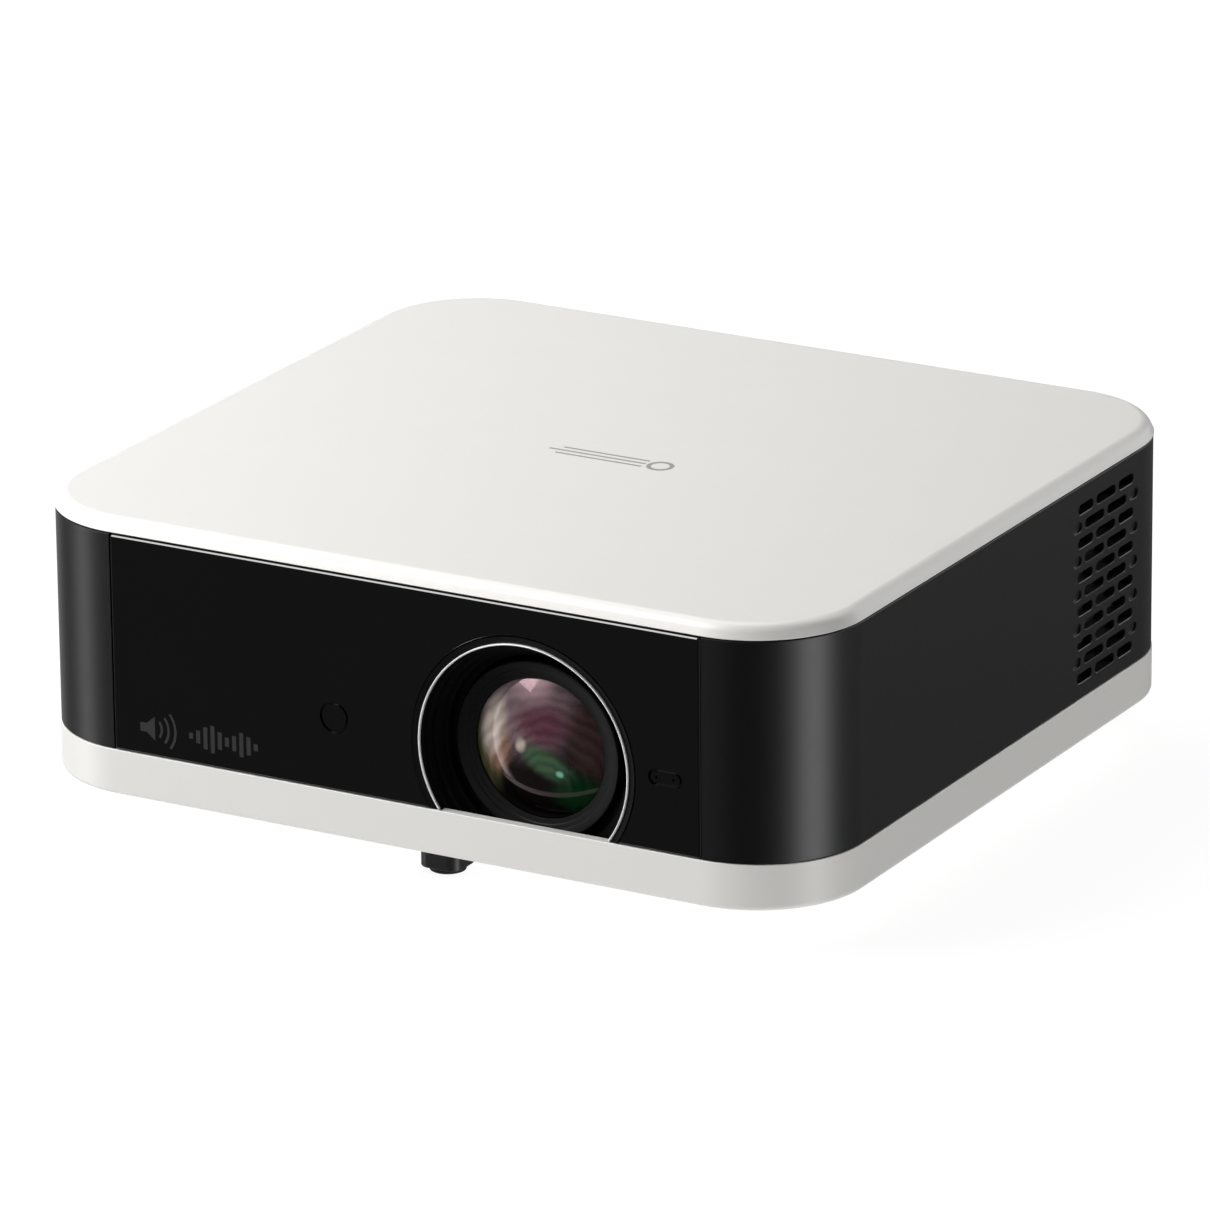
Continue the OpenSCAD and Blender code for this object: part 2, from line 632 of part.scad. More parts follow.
module prism_cube() color("lightcyan") translate([lens_x, cube_y, lens_z])
    cube(2 * cube_half, center = true);

module lcd_panel(k) channel(k) {
    difference() {
        box([panel_gap, -11, -9], [panel_gap + 2.4, 11, 10]);
        box([panel_gap - 1, -7.5, -5.5], [panel_gap + 4, 7.5, 5.5]);
    }
    box([panel_gap + 0.8, -7.6, -5.6], [panel_gap + 1.6, 7.6, 5.6]);
}
module lcd_panel_red() color("#7a2020") lcd_panel(0);
module lcd_panel_green() color("#207a30") lcd_panel(1);
module lcd_panel_blue() color("#20307a") lcd_panel(2);

module condenser_lenses() color("lightcyan") for (k = [0:2]) channel(k)
    translate([panel_gap + 10.5, 0, 0]) rotate([0, -90, 0]) dome_lens(11, 22, 5.5);

module led_module(k) channel(k) {
    difference() {
        box([lamp_gap, -12.5, -12.4], [lamp_gap + lamp_len, 12.5, 12.5]);
        translate([lamp_gap - 1, 0, 0]) rotate([0, 90, 0]) cylinder(h = lamp_len - 1, r1 = 10.5, r2 = 4);
    }
    box([lamp_gap + lamp_len, -15, -12.4], [lamp_gap + lamp_len + plate_t, 15, 15]);
}
module led_module_red() color("#a05a3a") led_module(0);
module led_module_green() color("#a05a3a") led_module(1);
module led_module_blue() color("#a05a3a") led_module(2);

module optical_frame() color("#8c8f94") {
    frame_z = lens_z - 15.5;
    difference() {
        union() {
            for (k = [0:2]) translate([lens_x, cube_y, frame_z]) rotate([0, 0, 180 - 90 * k])
                box([-13, -14, 0], [lamp_gap + lamp_len, 14, 3]);
            for (k = [0:2]) channel(k) {
                box([panel_gap, -8, -12.6], [panel_gap + 2.4, 8, -9.1]);
                box([panel_gap + 5, -4, -12.6], [panel_gap + 9, 4, -11.1]);
            }
            translate([lens_x, cube_y, frame_z]) box([-cube_half, -cube_half, 2.9], [cube_half, cube_half, 5.4]);
            box([lens_x - 24, barrel_y1 + 0.05, frame_z], [lens_x + 24, barrel_y1 + 3, lens_z + 24]);
            for (p = [[lens_x - 20, -30], [lens_x + 20, -30], [lens_x - 34, cube_y], [lens_x + 34, cube_y], [lens_x, 16]])
                post(p, inner_z + 0.05, frame_z + 1, 3.5);
        }
        bar_y(lens_x, barrel_y1 - 1, lens_z, 15, 6);
        for (sx = [-1, 1]) for (sz = [-1, 1]) bar_y(lens_x + sx * 20.5, barrel_y1 - 4, lens_z + sz * 20.5, 1.3, 9);
    }
}

module main_heatsink() color("silver") difference() {
    union() {
        for (k = [0:fins - 1]) box([sink_x0, sink_y0 + k * 2.8, 24], [sink_x1, sink_y0 + k * 2.8 + 0.9, 68]);
        box([sink_x0, sink_y0, 22], [sink_x1, sink_y0 + (fins - 1) * 2.8 + 0.9, 24.5]);
    }
    for (x = [58, 68, lens_x + pipe_off]) bar_y(x, sink_y0 - 1, pipe_z, pipe_r + 0.05, 40);
}

module heat_pipes() color("#b87333") {
    pipe_end = sink_y0 + 30;
    right = lens_x + pipe_off;
    level_bar([right, cube_y - 13], [right, pipe_end], pipe_z, pipe_r);
    back = cube_y + pipe_off;
    level_bar([lens_x - 13, back], [59, back], pipe_z, pipe_r);
    elbow([59, back + 9], -90, 9, pipe_z, pipe_r);
    level_bar([68, back + 9], [68, pipe_end], pipe_z, pipe_r);
    left = lens_x - pipe_off;
    level_bar([left, cube_y - 13], [left, 32], pipe_z, pipe_r);
    elbow([left + 9, 32], 90, 9, pipe_z, pipe_r);
    level_bar([left + 9, 41], [52, 41], pipe_z, pipe_r);
    elbow([52, 47], -90, 6, pipe_z, pipe_r);
    level_bar([58, 47], [58, pipe_end], pipe_z, pipe_r);
}

// ---------- electronics ----------

module main_board() color("#1f5a36") {
    difference() {
        box([-50, -64, main_z], [72, 24, main_z + 1.6]);
        for (p = main_posts) post(p, main_z - 1, main_z + 3, 1.7);
    }
    chip_z = main_z + 1.55;
    box([-32, -42, chip_z], [-6, -16, chip_z + 2.4]);
    for (x = [-36:15:-6]) box([x, -4, chip_z], [x + 11, 10, chip_z + 1.2]);
    for (x = [0:14:42]) box([x, -56, chip_z], [x + 9, -50, chip_z + 1.6]);
    for (k = [0:2]) box([20 + 14 * k, -2, chip_z], [31 + 14 * k, 4, chip_z + 3]);
}

module io_board() color("#1f5a36") difference() {
    box([-38, 57, io_top - 1.6], [12.6, bay_floor_y - 4.6, io_top]);
    for (p = io_posts) post(p, io_top - 3, io_top + 1, 1.7);
}

module power_board() color("#b9a36a") {
    difference() {
        box([-105, -64, power_z], [-47.6, 20, power_z + 1.6]);
        for (p = power_posts) post(p, power_z - 1, power_z + 3, 1.7);
    }
    part_z = power_z + 1.55;
    box([-92, -44, part_z], [-66, -20, part_z + 24]);
    for (y = [-8, 6]) post([-88, y], part_z, part_z + 30, 6);
    box([-72, -10, part_z], [-58, 4, part_z + 14]);
    box([-62, -50, part_z], [-58, -22, part_z + 26]);
    box([-66, 8, part_z], [-58, 18, part_z + 16]);
}

module wifi_board() color("#1f5a36") {
    box([-96, -97.2, 44], [-66, -96, 70]);
    box([-88, -96.05, 52], [-72, -94.2, 64]);
}

module board_posts() color("silver") {
    for (p = main_posts) difference() {
        translate([p[0], p[1], inner_z + 0.05]) cylinder(h = main_z - inner_z - 0.1, r = 3.2, $fn = 6);
        post(p, main_z - 8, main_z + 1, 1.3);
    }
    for (p = io_posts) difference() {
        translate([p[0], p[1], inner_z + 0.05]) cylinder(h = io_top - 1.7 - inner_z, r = 3.2, $fn = 6);
        post(p, io_top - 9, io_top, 1.3);
    }
    for (p = power_posts) difference() {
        translate([p[0], p[1], inner_z + 0.05]) cylinder(h = power_z - inner_z - 0.1, r = 3.2, $fn = 6);
        post(p, inner_z + 1, power_z + 1, 1.3);
    }
}

module lcd_ribbons() color("#c98a2b") for (k = [0:2]) channel(k)
    box([panel_gap + 1, -6, 10.1], [panel_gap + 1.3, 6, main_z - lens_z - 0.1]);

module mains_leads() color("#303034") for (s = [-1, 1]) {
    turn_r = 8;
    z = inlet_z - 4;
    x1 = inlet_x + s * 2.5;
    y1 = 51 + s * 2.5;
    x2 = -62 - s * 2;
    level_bar([x1, bay_floor_y - 16.2], [x1, y1 + turn_r], z, 1.3);
    elbow([x1 - turn_r, y1 + turn_r], -90, turn_r, z, 1.3);
    level_bar([x1 - turn_r, y1], [x2 + turn_r, y1], z, 1.3);
    elbow([x2 + turn_r, y1 - turn_r], 90, turn_r, z, 1.3);
    level_bar([x2, y1 - turn_r], [x2, 18.1], z, 1.3);
}

// ---------- feet and fasteners ----------

module tripod_insert() color("goldenrod") difference() {
    post([0, 5], base_z0 + 0.2, base_z0 + 10, 6);
    post([0, 5], base_z0 - 1, base_z0 + 11, 3.2);
}

module foot_nut() color("goldenrod") difference() {
    post([0, foot_y], base_z0 + 0.2, base_z0 + 11.5, 7);
    post([0, foot_y], base_z0 - 1, base_z0 + 13, foot_screw_r + 0.06);
}

module foot_knob() color("#2a2a2c") difference() {
    union() {
        translate([0, foot_y, 1.4]) slab(grip_w, grip_w, 3, base_z0 - 1.8, 5);
        post([0, foot_y], base_z0 - 0.5, base_z0 + foot_stem, foot_screw_r);
    }
    post([0, foot_y], 0, 5.2, 2.05);
}

module foot_pad() color("#151515") union() {
    post([0, foot_y], 0, 1.3, 4.7);
    post([0, foot_y], 1.2, 4.8, 2);
}

module rear_feet() color("#202022") for (s = [-1, 1]) {
    translate([s * rear_foot_x, rear_foot_y, 1.5]) cylinder(h = base_z0 - 1.55, r1 = 7.6, r2 = 8.6);
    post([s * rear_foot_x, rear_foot_y], base_z0 - 0.5, base_z0 + 3.8, 2.5);
}

module rear_foot_pads() color("#151515") for (s = [-1, 1])
    post([s * rear_foot_x, rear_foot_y], 0, 1.45, 7);

module screw(z, head_r, head_h, shank_r, shank_h) {
    difference() {
        translate([0, 0, z]) cylinder(h = head_h, r = head_r);
        for (a = [0, 90]) rotate(a) translate([-head_r * 0.6, -0.35, z - 1]) cube([head_r * 1.2, 0.7, 1.9]);
    }
    translate([0, 0, z + head_h - eps]) cylinder(h = shank_h, r = shank_r);
}

module case_screws() color("silver") for (p = screw_pts) translate([p[0], p[1], 0])
    screw(base_z0 + 1, 2.9, 2.1, 1.5, 17);

module inner_screws() color("silver") {
    for (p = main_posts) translate([p[0], p[1], main_z + 3.6]) mirror([0, 0, 1]) screw(0, 2.8, 1.9, 1.2, 7);
    for (p = power_posts) translate([p[0], p[1], power_z + 3.6]) mirror([0, 0, 1]) screw(0, 2.8, 1.9, 1.2, 4.6);
    for (sx = [-1, 1]) for (sz = [-1, 1])
        translate([lens_x + sx * 20.5, barrel_y1 - 5.1, lens_z + sz * 20.5]) rotate([-90, 0, 0])
            screw(0, 2.4, 2, 1.2, 7);
}

base_cover();
side_shell();
top_cover();
front_panel();
lens_trim_ring();
lens_shroud();
camera_window();
camera_module();
range_window();
range_sensor();
port_tray();
power_inlet();
hdmi_port();
usb_port();
audio_jack();
status_light();
power_button();
button_switch();
speaker_boxes();
speaker_frames();
speaker_cone_left();
speaker_cone_right();
intake_filter();
intake_fan_frame();
exhaust_fan_frame();
intake_fan_rotor();
exhaust_fan_rotor();
lens_barrel();
rear_lens_group();
focus_ring();
focus_pinion();
focus_motor();
lens_cell();
front_lens_group();
prism_cube();
lcd_panel_red();
lcd_panel_green();
lcd_panel_blue();
condenser_lenses();
led_module_red();
led_module_green();
led_module_blue();
optical_frame();
main_heatsink();
heat_pipes();
main_board();
io_board();
power_board();
wifi_board();
board_posts();
lcd_ribbons();
mains_leads();
tripod_insert();
foot_nut();
foot_knob();
foot_pad();
rear_feet();
rear_foot_pads();
case_screws();
inner_screws();
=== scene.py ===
import json
import math

import bmesh
import bpy
from mathutils import Matrix, Vector


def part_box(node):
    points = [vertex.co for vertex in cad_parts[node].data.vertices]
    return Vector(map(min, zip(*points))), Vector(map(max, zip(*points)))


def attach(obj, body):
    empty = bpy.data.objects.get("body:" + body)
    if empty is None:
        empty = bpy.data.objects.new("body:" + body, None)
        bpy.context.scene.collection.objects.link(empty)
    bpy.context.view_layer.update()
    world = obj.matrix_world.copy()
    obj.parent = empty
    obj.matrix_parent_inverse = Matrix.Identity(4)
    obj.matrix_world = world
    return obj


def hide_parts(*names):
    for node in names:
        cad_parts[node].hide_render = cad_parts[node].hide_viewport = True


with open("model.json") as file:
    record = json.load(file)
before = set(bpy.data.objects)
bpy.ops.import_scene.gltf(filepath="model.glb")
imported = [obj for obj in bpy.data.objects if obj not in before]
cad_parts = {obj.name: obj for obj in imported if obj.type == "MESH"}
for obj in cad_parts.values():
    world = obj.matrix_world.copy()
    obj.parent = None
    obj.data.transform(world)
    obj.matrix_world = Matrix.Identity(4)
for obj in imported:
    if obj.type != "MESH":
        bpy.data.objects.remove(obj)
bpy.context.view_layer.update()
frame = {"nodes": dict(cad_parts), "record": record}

# The home projector's visible pieces, remade with smooth shells, fine edges and procedural materials.
# The CAD frame gives every place. Shapes are worked out in millimetres and built in metres.

MM = 0.001


def mm_box(node):
    """Lowest and highest corner of a CAD node, in millimetres."""
    low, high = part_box(node)
    return Vector(low) / MM, Vector(high) / MM


# ---------------------------------------------------------------- camera

AZIMUTH = math.radians(29.617)
ELEVATION = math.radians(19.03)
ROLL = math.radians(-0.554)
DISTANCE = 2.3132
AIM = Vector((-0.0018, 0.0, 0.0436))
SENSOR_WIDTH = 36.0
FOCAL_LENGTH = 269.7

back = Vector((math.sin(AZIMUTH) * math.cos(ELEVATION),
               -math.cos(AZIMUTH) * math.cos(ELEVATION),
               math.sin(ELEVATION)))
level_right = Vector((math.cos(AZIMUTH), math.sin(AZIMUTH), 0.0))
level_up = back.cross(level_right)
cam_right = math.cos(ROLL) * level_right + math.sin(ROLL) * level_up
cam_up = math.cos(ROLL) * level_up - math.sin(ROLL) * level_right
camera_data = bpy.data.cameras.new("camera")
camera_data.sensor_width = SENSOR_WIDTH
camera_data.lens = FOCAL_LENGTH
camera_data.clip_start = 0.01
camera = bpy.data.objects.new("camera", camera_data)
turn = Matrix((cam_right, cam_up, back)).transposed().to_4x4()
camera.matrix_world = Matrix.Translation(AIM + back * DISTANCE) @ turn
bpy.context.scene.collection.objects.link(camera)
bpy.context.scene.camera = camera
bpy.context.scene.view_settings.view_transform = "Standard"


# ---------------------------------------------------------------- materials

def new_tree(name):
    """A new material with its node tree and its shader."""
    mat = bpy.data.materials.new(name)
    mat.use_nodes = True
    tree = mat.node_tree
    shader = tree.nodes["Principled BSDF"]
    return mat, tree, shader


def link(tree, source, output, target, socket):
    """Joins an output to an input, each by name or number."""
    tree.links.new(source.outputs[output], target.inputs[socket])


def grain_noise(tree, scale, detail=2.0, stretch=(1.0, 1.0, 1.0)):
    """Noise in the object's own metres, with scale in grains per metre."""
    coords = tree.nodes.new("ShaderNodeTexCoord")
    place = tree.nodes.new("ShaderNodeMapping")
    place.inputs["Scale"].default_value = stretch
    noise = tree.nodes.new("ShaderNodeTexNoise")
    noise.inputs["Scale"].default_value = scale
    noise.inputs["Detail"].default_value = detail
    link(tree, coords, "Object", place, "Vector")
    link(tree, place, "Vector", noise, "Vector")
    return noise


def surface(name, color, rough, metallic=0.0, specular=0.5, coat=0.0, mottle=0.08, spread=0.06,
            grain=2500.0, bump=0.12, bump_depth=0.00002, stretch=(1.0, 1.0, 1.0)):
    """Procedural surface: colour mottle, uneven gloss and a moulded or machined grain."""
    mat, tree, shader = new_tree(name)
    shader.inputs["Metallic"].default_value = metallic
    shader.inputs["Specular IOR Level"].default_value = specular
    shader.inputs["Coat Weight"].default_value = coat
    shader.inputs["Coat Roughness"].default_value = 0.04

    shade = tree.nodes.new("ShaderNodeMapRange")
    shade.inputs["To Min"].default_value = 1.0 - mottle
    shade.inputs["To Max"].default_value = 1.0 + mottle
    tint = tree.nodes.new("ShaderNodeMix")
    tint.data_type = "RGBA"
    tint.blend_type = "MULTIPLY"
    tint.inputs["Factor"].default_value = 1.0
    tint.inputs["A"].default_value = (*color, 1.0)
    link(tree, grain_noise(tree, 60.0, 4.0), "Fac", shade, "Value")
    link(tree, shade, "Result", tint, "B")
    link(tree, tint, "Result", shader, "Base Color")

    gloss = tree.nodes.new("ShaderNodeMapRange")
    gloss.inputs["To Min"].default_value = max(rough - spread, 0.02)
    gloss.inputs["To Max"].default_value = rough + spread
    link(tree, grain_noise(tree, 400.0, 3.0, stretch), "Fac", gloss, "Value")
    link(tree, gloss, "Result", shader, "Roughness")

    relief = tree.nodes.new("ShaderNodeBump")
    relief.inputs["Strength"].default_value = bump
    relief.inputs["Distance"].default_value = bump_depth
    link(tree, grain_noise(tree, grain, 3.0, stretch), "Fac", relief, "Height")
    link(tree, relief, "Normal", shader, "Normal")
    return mat


def glass(name, color, coating=(1.0, 1.0, 1.0), ior=1.5, rough=0.02):
    """Polished glass whose reflections take the coating's tint."""
    mat = surface(name, color, rough, mottle=0.01, spread=0.01, bump=0.01)
    shader = mat.node_tree.nodes["Principled BSDF"]
    shader.inputs["Transmission Weight"].default_value = 1.0
    shader.inputs["IOR"].default_value = ior
    shader.inputs["Specular Tint"].default_value = (*coating, 1.0)
    return mat


def paint_reflection_blob(tree, below, centre, reach, u, v, half_u, half_v, turn, color):
    """Adds a soft oval of painted reflection colour over the lens's base colour, whose colour or mix node is
    below.
    u, v and the half sizes are in parts of the lens's radius, reach. turn is in degrees."""
    coords = tree.nodes.new("ShaderNodeTexCoord")
    oval = tree.nodes.new("ShaderNodeMapping")
    oval.vector_type = "TEXTURE"
    oval.inputs["Location"].default_value = ((centre[0] + u * reach) * MM, 0.0, (centre[1] + v * reach) * MM)
    oval.inputs["Rotation"].default_value = (0.0, math.radians(turn), 0.0)
    oval.inputs["Scale"].default_value = (half_u * reach * MM, 100.0, half_v * reach * MM)
    falloff = tree.nodes.new("ShaderNodeTexGradient")
    falloff.gradient_type = "SPHERICAL"
    ease = tree.nodes.new("ShaderNodeMapRange")
    ease.interpolation_type = "SMOOTHERSTEP"
    ease.inputs["From Max"].default_value = 0.75
    mix = tree.nodes.new("ShaderNodeMix")
    mix.data_type = "RGBA"
    mix.inputs["B"].default_value = (*color, 1.0)
    link(tree, coords, "Object", oval, "Vector")
    link(tree, oval, "Vector", falloff, "Vector")
    link(tree, falloff, "Fac", ease, "Value")
    link(tree, ease, "Result", mix, "Factor")
    if isinstance(below, tuple):
        mix.inputs["A"].default_value = (*below, 1.0)
    else:
        link(tree, below, "Result", mix, "A")
    return mix


# Painted reflections and highlights on the front lens, in its base colour: a near-black base colour, then (u,
# v, half width, half height, turn, colour) of each soft oval
PAINTED_REFLECTION_BASE = (0.006, 0.005, 0.005)
PAINTED_REFLECTIONS = [
    (-0.25, 0.66, 1.40, 1.00, 0, (0.33, 0.23, 0.26)),
    (0.14, 0.42, 0.62, 0.42, 0, (0.19, 0.07, 0.105)),
    (0.85, 0.30, 0.55, 1.00, 0, (0.085, 0.05, 0.05)),
    (-0.85, -0.30, 0.46, 0.75, 0, (0.10, 0.10, 0.05)),
    (-0.56, -0.06, 0.30, 0.50, 20, (0.42, 0.25, 0.17)),
    (-0.66, 0.26, 0.30, 0.62, 12, (0.86, 0.75, 0.66)),
    (0.62, -0.52, 0.50, 0.46, 0, (0.008, 0.06, 0.020)),
    (0.20, -0.10, 0.56, 0.27, 27, (0.09, 0.19, 0.10)),
    (-0.17, 0.10, 0.12, 0.15, 0, (0.80, 0.70, 0.62)),
    (0.40, -0.24, 0.075, 0.075, 0, (0.35, 0.95, 0.62)),
]


def paint_lens_reflections(mat, centre, reach, clear):
    """Paints a glass's base colour with its reflections and highlights: soft coloured ovals and faint curved
    streaks of painted reflection. clear is the share of light let through.
    """
    tree = mat.node_tree
    shader = tree.nodes["Principled BSDF"]
    layer = PAINTED_REFLECTION_BASE
    for blob in PAINTED_REFLECTIONS:
        layer = paint_reflection_blob(tree, layer, centre, reach, *blob)
    coords = tree.nodes.new("ShaderNodeTexCoord")
    spin = tree.nodes.new("ShaderNodeMapping")
    spin.vector_type = "TEXTURE"
    spin.inputs["Location"].default_value = ((centre[0] + 0.25 * reach) * MM, 0.0,
                                             (centre[1] - 0.45 * reach) * MM)
    spin.inputs["Scale"].default_value = (reach * MM, reach * MM, reach * MM)
    # Rings that paint faint curved reflection streaks across the lens
    rings = tree.nodes.new("ShaderNodeTexWave")
    rings.wave_type = "RINGS"
    rings.rings_direction = "Y"
    rings.inputs["Scale"].default_value = 2.1
    rings.inputs["Distortion"].default_value = 7.0
    rings.inputs["Detail"].default_value = 3.0
    rings.inputs["Detail Scale"].default_value = 1.1
    shade = tree.nodes.new("ShaderNodeMapRange")
    shade.inputs["To Min"].default_value = 0.74
    shade.inputs["To Max"].default_value = 1.1
    reflection_streaks = tree.nodes.new("ShaderNodeMix")
    reflection_streaks.data_type = "RGBA"
    reflection_streaks.blend_type = "MULTIPLY"
    reflection_streaks.inputs["Factor"].default_value = 1.0
    link(tree, coords, "Object", spin, "Vector")
    link(tree, spin, "Vector", rings, "Vector")
    link(tree, rings, "Fac", shade, "Value")
    link(tree, layer, "Result", reflection_streaks, "A")
    link(tree, shade, "Result", reflection_streaks, "B")
    link(tree, reflection_streaks, "Result", shader, "Base Color")
    shader.inputs["Transmission Weight"].default_value = clear


MATERIALS = {
    "white_shell": surface("white_shell", (0.80, 0.792, 0.765), 0.38, mottle=0.012, bump=0.1),
    "black_shell": surface("black_shell", (0.0024, 0.0024, 0.0025), 0.38, mottle=0.05, spread=0.03, bump=0.1),
    "gloss_panel": surface("gloss_panel", (0.0025, 0.0025, 0.0026), 0.09, mottle=0.1, spread=0.03, bump=0.01),
    "bright_trim": surface("bright_trim", (0.86, 0.86, 0.87), 0.36, metallic=0.55, bump=0.05),
    "black_inner": surface("black_inner", (0.002, 0.002, 0.0021), 0.5, specular=0.12, bump=0.2),
    "dark_window": surface("dark_window", (0.0022, 0.0022, 0.0024), 0.12, spread=0.02, bump=0.01),
    "steel": surface("steel", (0.58, 0.58, 0.6), 0.3, metallic=1.0, stretch=(1.0, 8.0, 1.0)),
    "light_pipe": surface("light_pipe", (0.62, 0.78, 0.66), 0.25),
    "button_plastic": surface("button_plastic", (0.012, 0.012, 0.013), 0.38),
    "cone": surface("cone", (0.022, 0.022, 0.024), 0.7, grain=1200.0, bump=0.4),
    "filter_foam": surface("filter_foam", (0.010, 0.010, 0.011), 0.9, specular=0.15, grain=900.0, bump=0.8,
                           bump_depth=0.0004),
    "fan_plastic": surface("fan_plastic", (0.014, 0.014, 0.016), 0.42),
    "brass": surface("brass", (0.72, 0.5, 0.2), 0.28, metallic=1.0, stretch=(1.0, 1.0, 8.0)),
    "lens_glass": glass("lens_glass", (0.93, 0.97, 0.98)),
    "coated_glass": glass("coated_glass", (0.97, 0.96, 0.97), (1.0, 0.66, 0.72), rough=0.04),
    "coated_rose": glass("coated_rose", (0.95, 0.9, 0.93), (1.0, 0.45, 0.6), 1.8, 0.12),
    "coated_green": glass("coated_green", (0.9, 0.95, 0.9), (0.3, 1.0, 0.5), 1.8, 0.06),
    "cell_metal": surface("cell_metal", (0.003, 0.003, 0.0031), 0.5, specular=0.22, spread=0.04,
                          grain=3500.0),
    "lcd_red": surface("lcd_red", (0.25, 0.02, 0.02), 0.15),
    "lcd_green": surface("lcd_green", (0.02, 0.25, 0.05), 0.15),
    "lcd_blue": surface("lcd_blue", (0.02, 0.05, 0.3), 0.15),
    "copper": surface("copper", (0.75, 0.36, 0.2), 0.3, metallic=1.0, spread=0.1),
    "cast_metal": surface("cast_metal", (0.32, 0.33, 0.34), 0.5, metallic=1.0, grain=1500.0, bump=0.3),
    "fin_aluminium": surface("fin_aluminium", (0.66, 0.66, 0.67), 0.34, metallic=1.0,
                             stretch=(8.0, 1.0, 1.0)),
    "board_green": surface("board_green", (0.015, 0.1, 0.04), 0.3, mottle=0.3, grain=1800.0),
    "board_tan": surface("board_tan", (0.35, 0.25, 0.1), 0.45, mottle=0.2),
    "flex_film": surface("flex_film", (0.5, 0.22, 0.04), 0.25),
    "lead_rubber": surface("lead_rubber", (0.02, 0.02, 0.022), 0.55),
    "foot_plastic": surface("foot_plastic", (0.010, 0.010, 0.011), 0.42, bump=0.3),
    "foot_rubber": surface("foot_rubber", (0.006, 0.006, 0.006), 0.75, bump=0.4),
    "mark_grey": surface("mark_grey", (0.30, 0.295, 0.285), 0.5),
    "mark_dark": surface("mark_dark", (0.024, 0.024, 0.025), 0.5, specular=0.3),
}


# ---------------------------------------------------------------- mesh helpers

def make_object(name, verts, faces):
    """Mesh object from points in millimetres, with its faces turned outwards."""
    mesh = bpy.data.meshes.new(name)
    mesh.from_pydata([Vector(v) * MM for v in verts], [], faces)
    work = bmesh.new()
    work.from_mesh(mesh)
    bmesh.ops.remove_doubles(work, verts=work.verts, dist=1e-7)
    bmesh.ops.recalc_face_normals(work, faces=work.faces)
    work.to_mesh(mesh)
    work.free()
    obj = bpy.data.objects.new(name, mesh)
    bpy.context.scene.collection.objects.link(obj)
    return obj


def loft(name, rings, closed=False):
    """Skin over rings of equal point count. Ends are capped, or joined when closed."""
    count = len(rings[0])
    verts = [p for ring in rings for p in ring]
    faces = []
    spans = len(rings) if closed else len(rings) - 1
    for i in range(spans):
        j = (i + 1) % len(rings)
        for k in range(count):
            m = (k + 1) % count
            faces.append((i * count + k, i * count + m, j * count + m, j * count + k))
    if not closed:
        faces.append(tuple(range(count)))
        faces.append(tuple((len(rings) - 1) * count + k for k in range(count)))
    return make_object(name, verts, faces)


def arc(cx, cy, r, start, end, steps):
    """Points of an arc, angles in degrees."""
    turn = [math.radians(start + (end - start) * i / steps) for i in range(steps + 1)]
    return [(cx + r * math.cos(a), cy + r * math.sin(a)) for a in turn]


def rounded_rect(half_w, half_h, r, steps):
    """Corners anticlockwise from the lower right."""
    x, y = half_w - r, half_h - r
    return (arc(x, -y, r, -90, 0, steps) + arc(x, y, r, 0, 90, steps)
            + arc(-x, y, r, 90, 180, steps) + arc(-x, -y, r, 180, 270, steps))


def lathe(name, profile, centre, start=0.0, end=360.0, steps=96):
    """Turns a closed (radius, y) profile about the +Y axis through centre = (x, z)."""
    full = abs(end - start - 360.0) < 1e-6
    angles = [math.radians(start + (end - start) * i / steps) for i in range(steps if full else steps + 1)]
    rings = [[(centre[0] + r * math.cos(a), y, centre[1] + r * math.sin(a)) for r, y in profile]
             for a in angles]
    return loft(name, rings, closed=full)


def dish(name, profile, centre, steps=96):
    """Turns an open (radius, y) profile whose ends lie on the axis."""
    inner = [(r, y) for r, y in profile if r > 1e-6]
    angles = [2 * math.pi * i / steps for i in range(steps)]
    rings = [[(centre[0] + r * math.cos(a), y, centre[1] + r * math.sin(a)) for a in angles]
             for r, y in inner]
    return loft(name, rings)


def turned(name, profile, centre, steps=96):
    """Turns an open profile into a closed solid with single points on the axis."""
    verts = [(centre[0], profile[0][1], centre[1])]
    faces = []
    body = profile[1:-1]
    for r, y in body:
        for k in range(steps):
            a = 2 * math.pi * k / steps
            verts.append((centre[0] + r * math.cos(a), y, centre[1] + r * math.sin(a)))
    last = len(verts)
    verts.append((centre[0], profile[-1][1], centre[1]))
    for k in range(steps):
        m = (k + 1) % steps
        faces.append((0, 1 + k, 1 + m))
        for i in range(len(body) - 1):
            a, b = 1 + i * steps, 1 + (i + 1) * steps
            faces.append((a + k, b + k, b + m, a + m))
        end = 1 + (len(body) - 1) * steps
        faces.append((last, end + m, end + k))
    return make_object(name, verts, faces)


def block(name, low, high):
    """Box between two corners."""
    (x0, y0, z0), (x1, y1, z1) = low, high
    outline = [(x0, y0), (x1, y0), (x1, y1), (x0, y1)]
    return loft(name, [[(x, y, z) for x, y in outline] for z in (z0, z1)])


def stadium(half_w, half_h, steps=8):
    """Outline of a slot with round ends."""
    return rounded_rect(half_w, half_h, min(half_w, half_h) * 0.999, steps)


def merge(name, objects):
    """One object of several separate solids."""
    work = bmesh.new()
    for obj in objects:
        work.from_mesh(obj.data)
        bpy.data.objects.remove(obj)
    mesh = bpy.data.meshes.new(name)
    work.to_mesh(mesh)
    work.free()
    out = bpy.data.objects.new(name, mesh)
    bpy.context.scene.collection.objects.link(out)
    return out


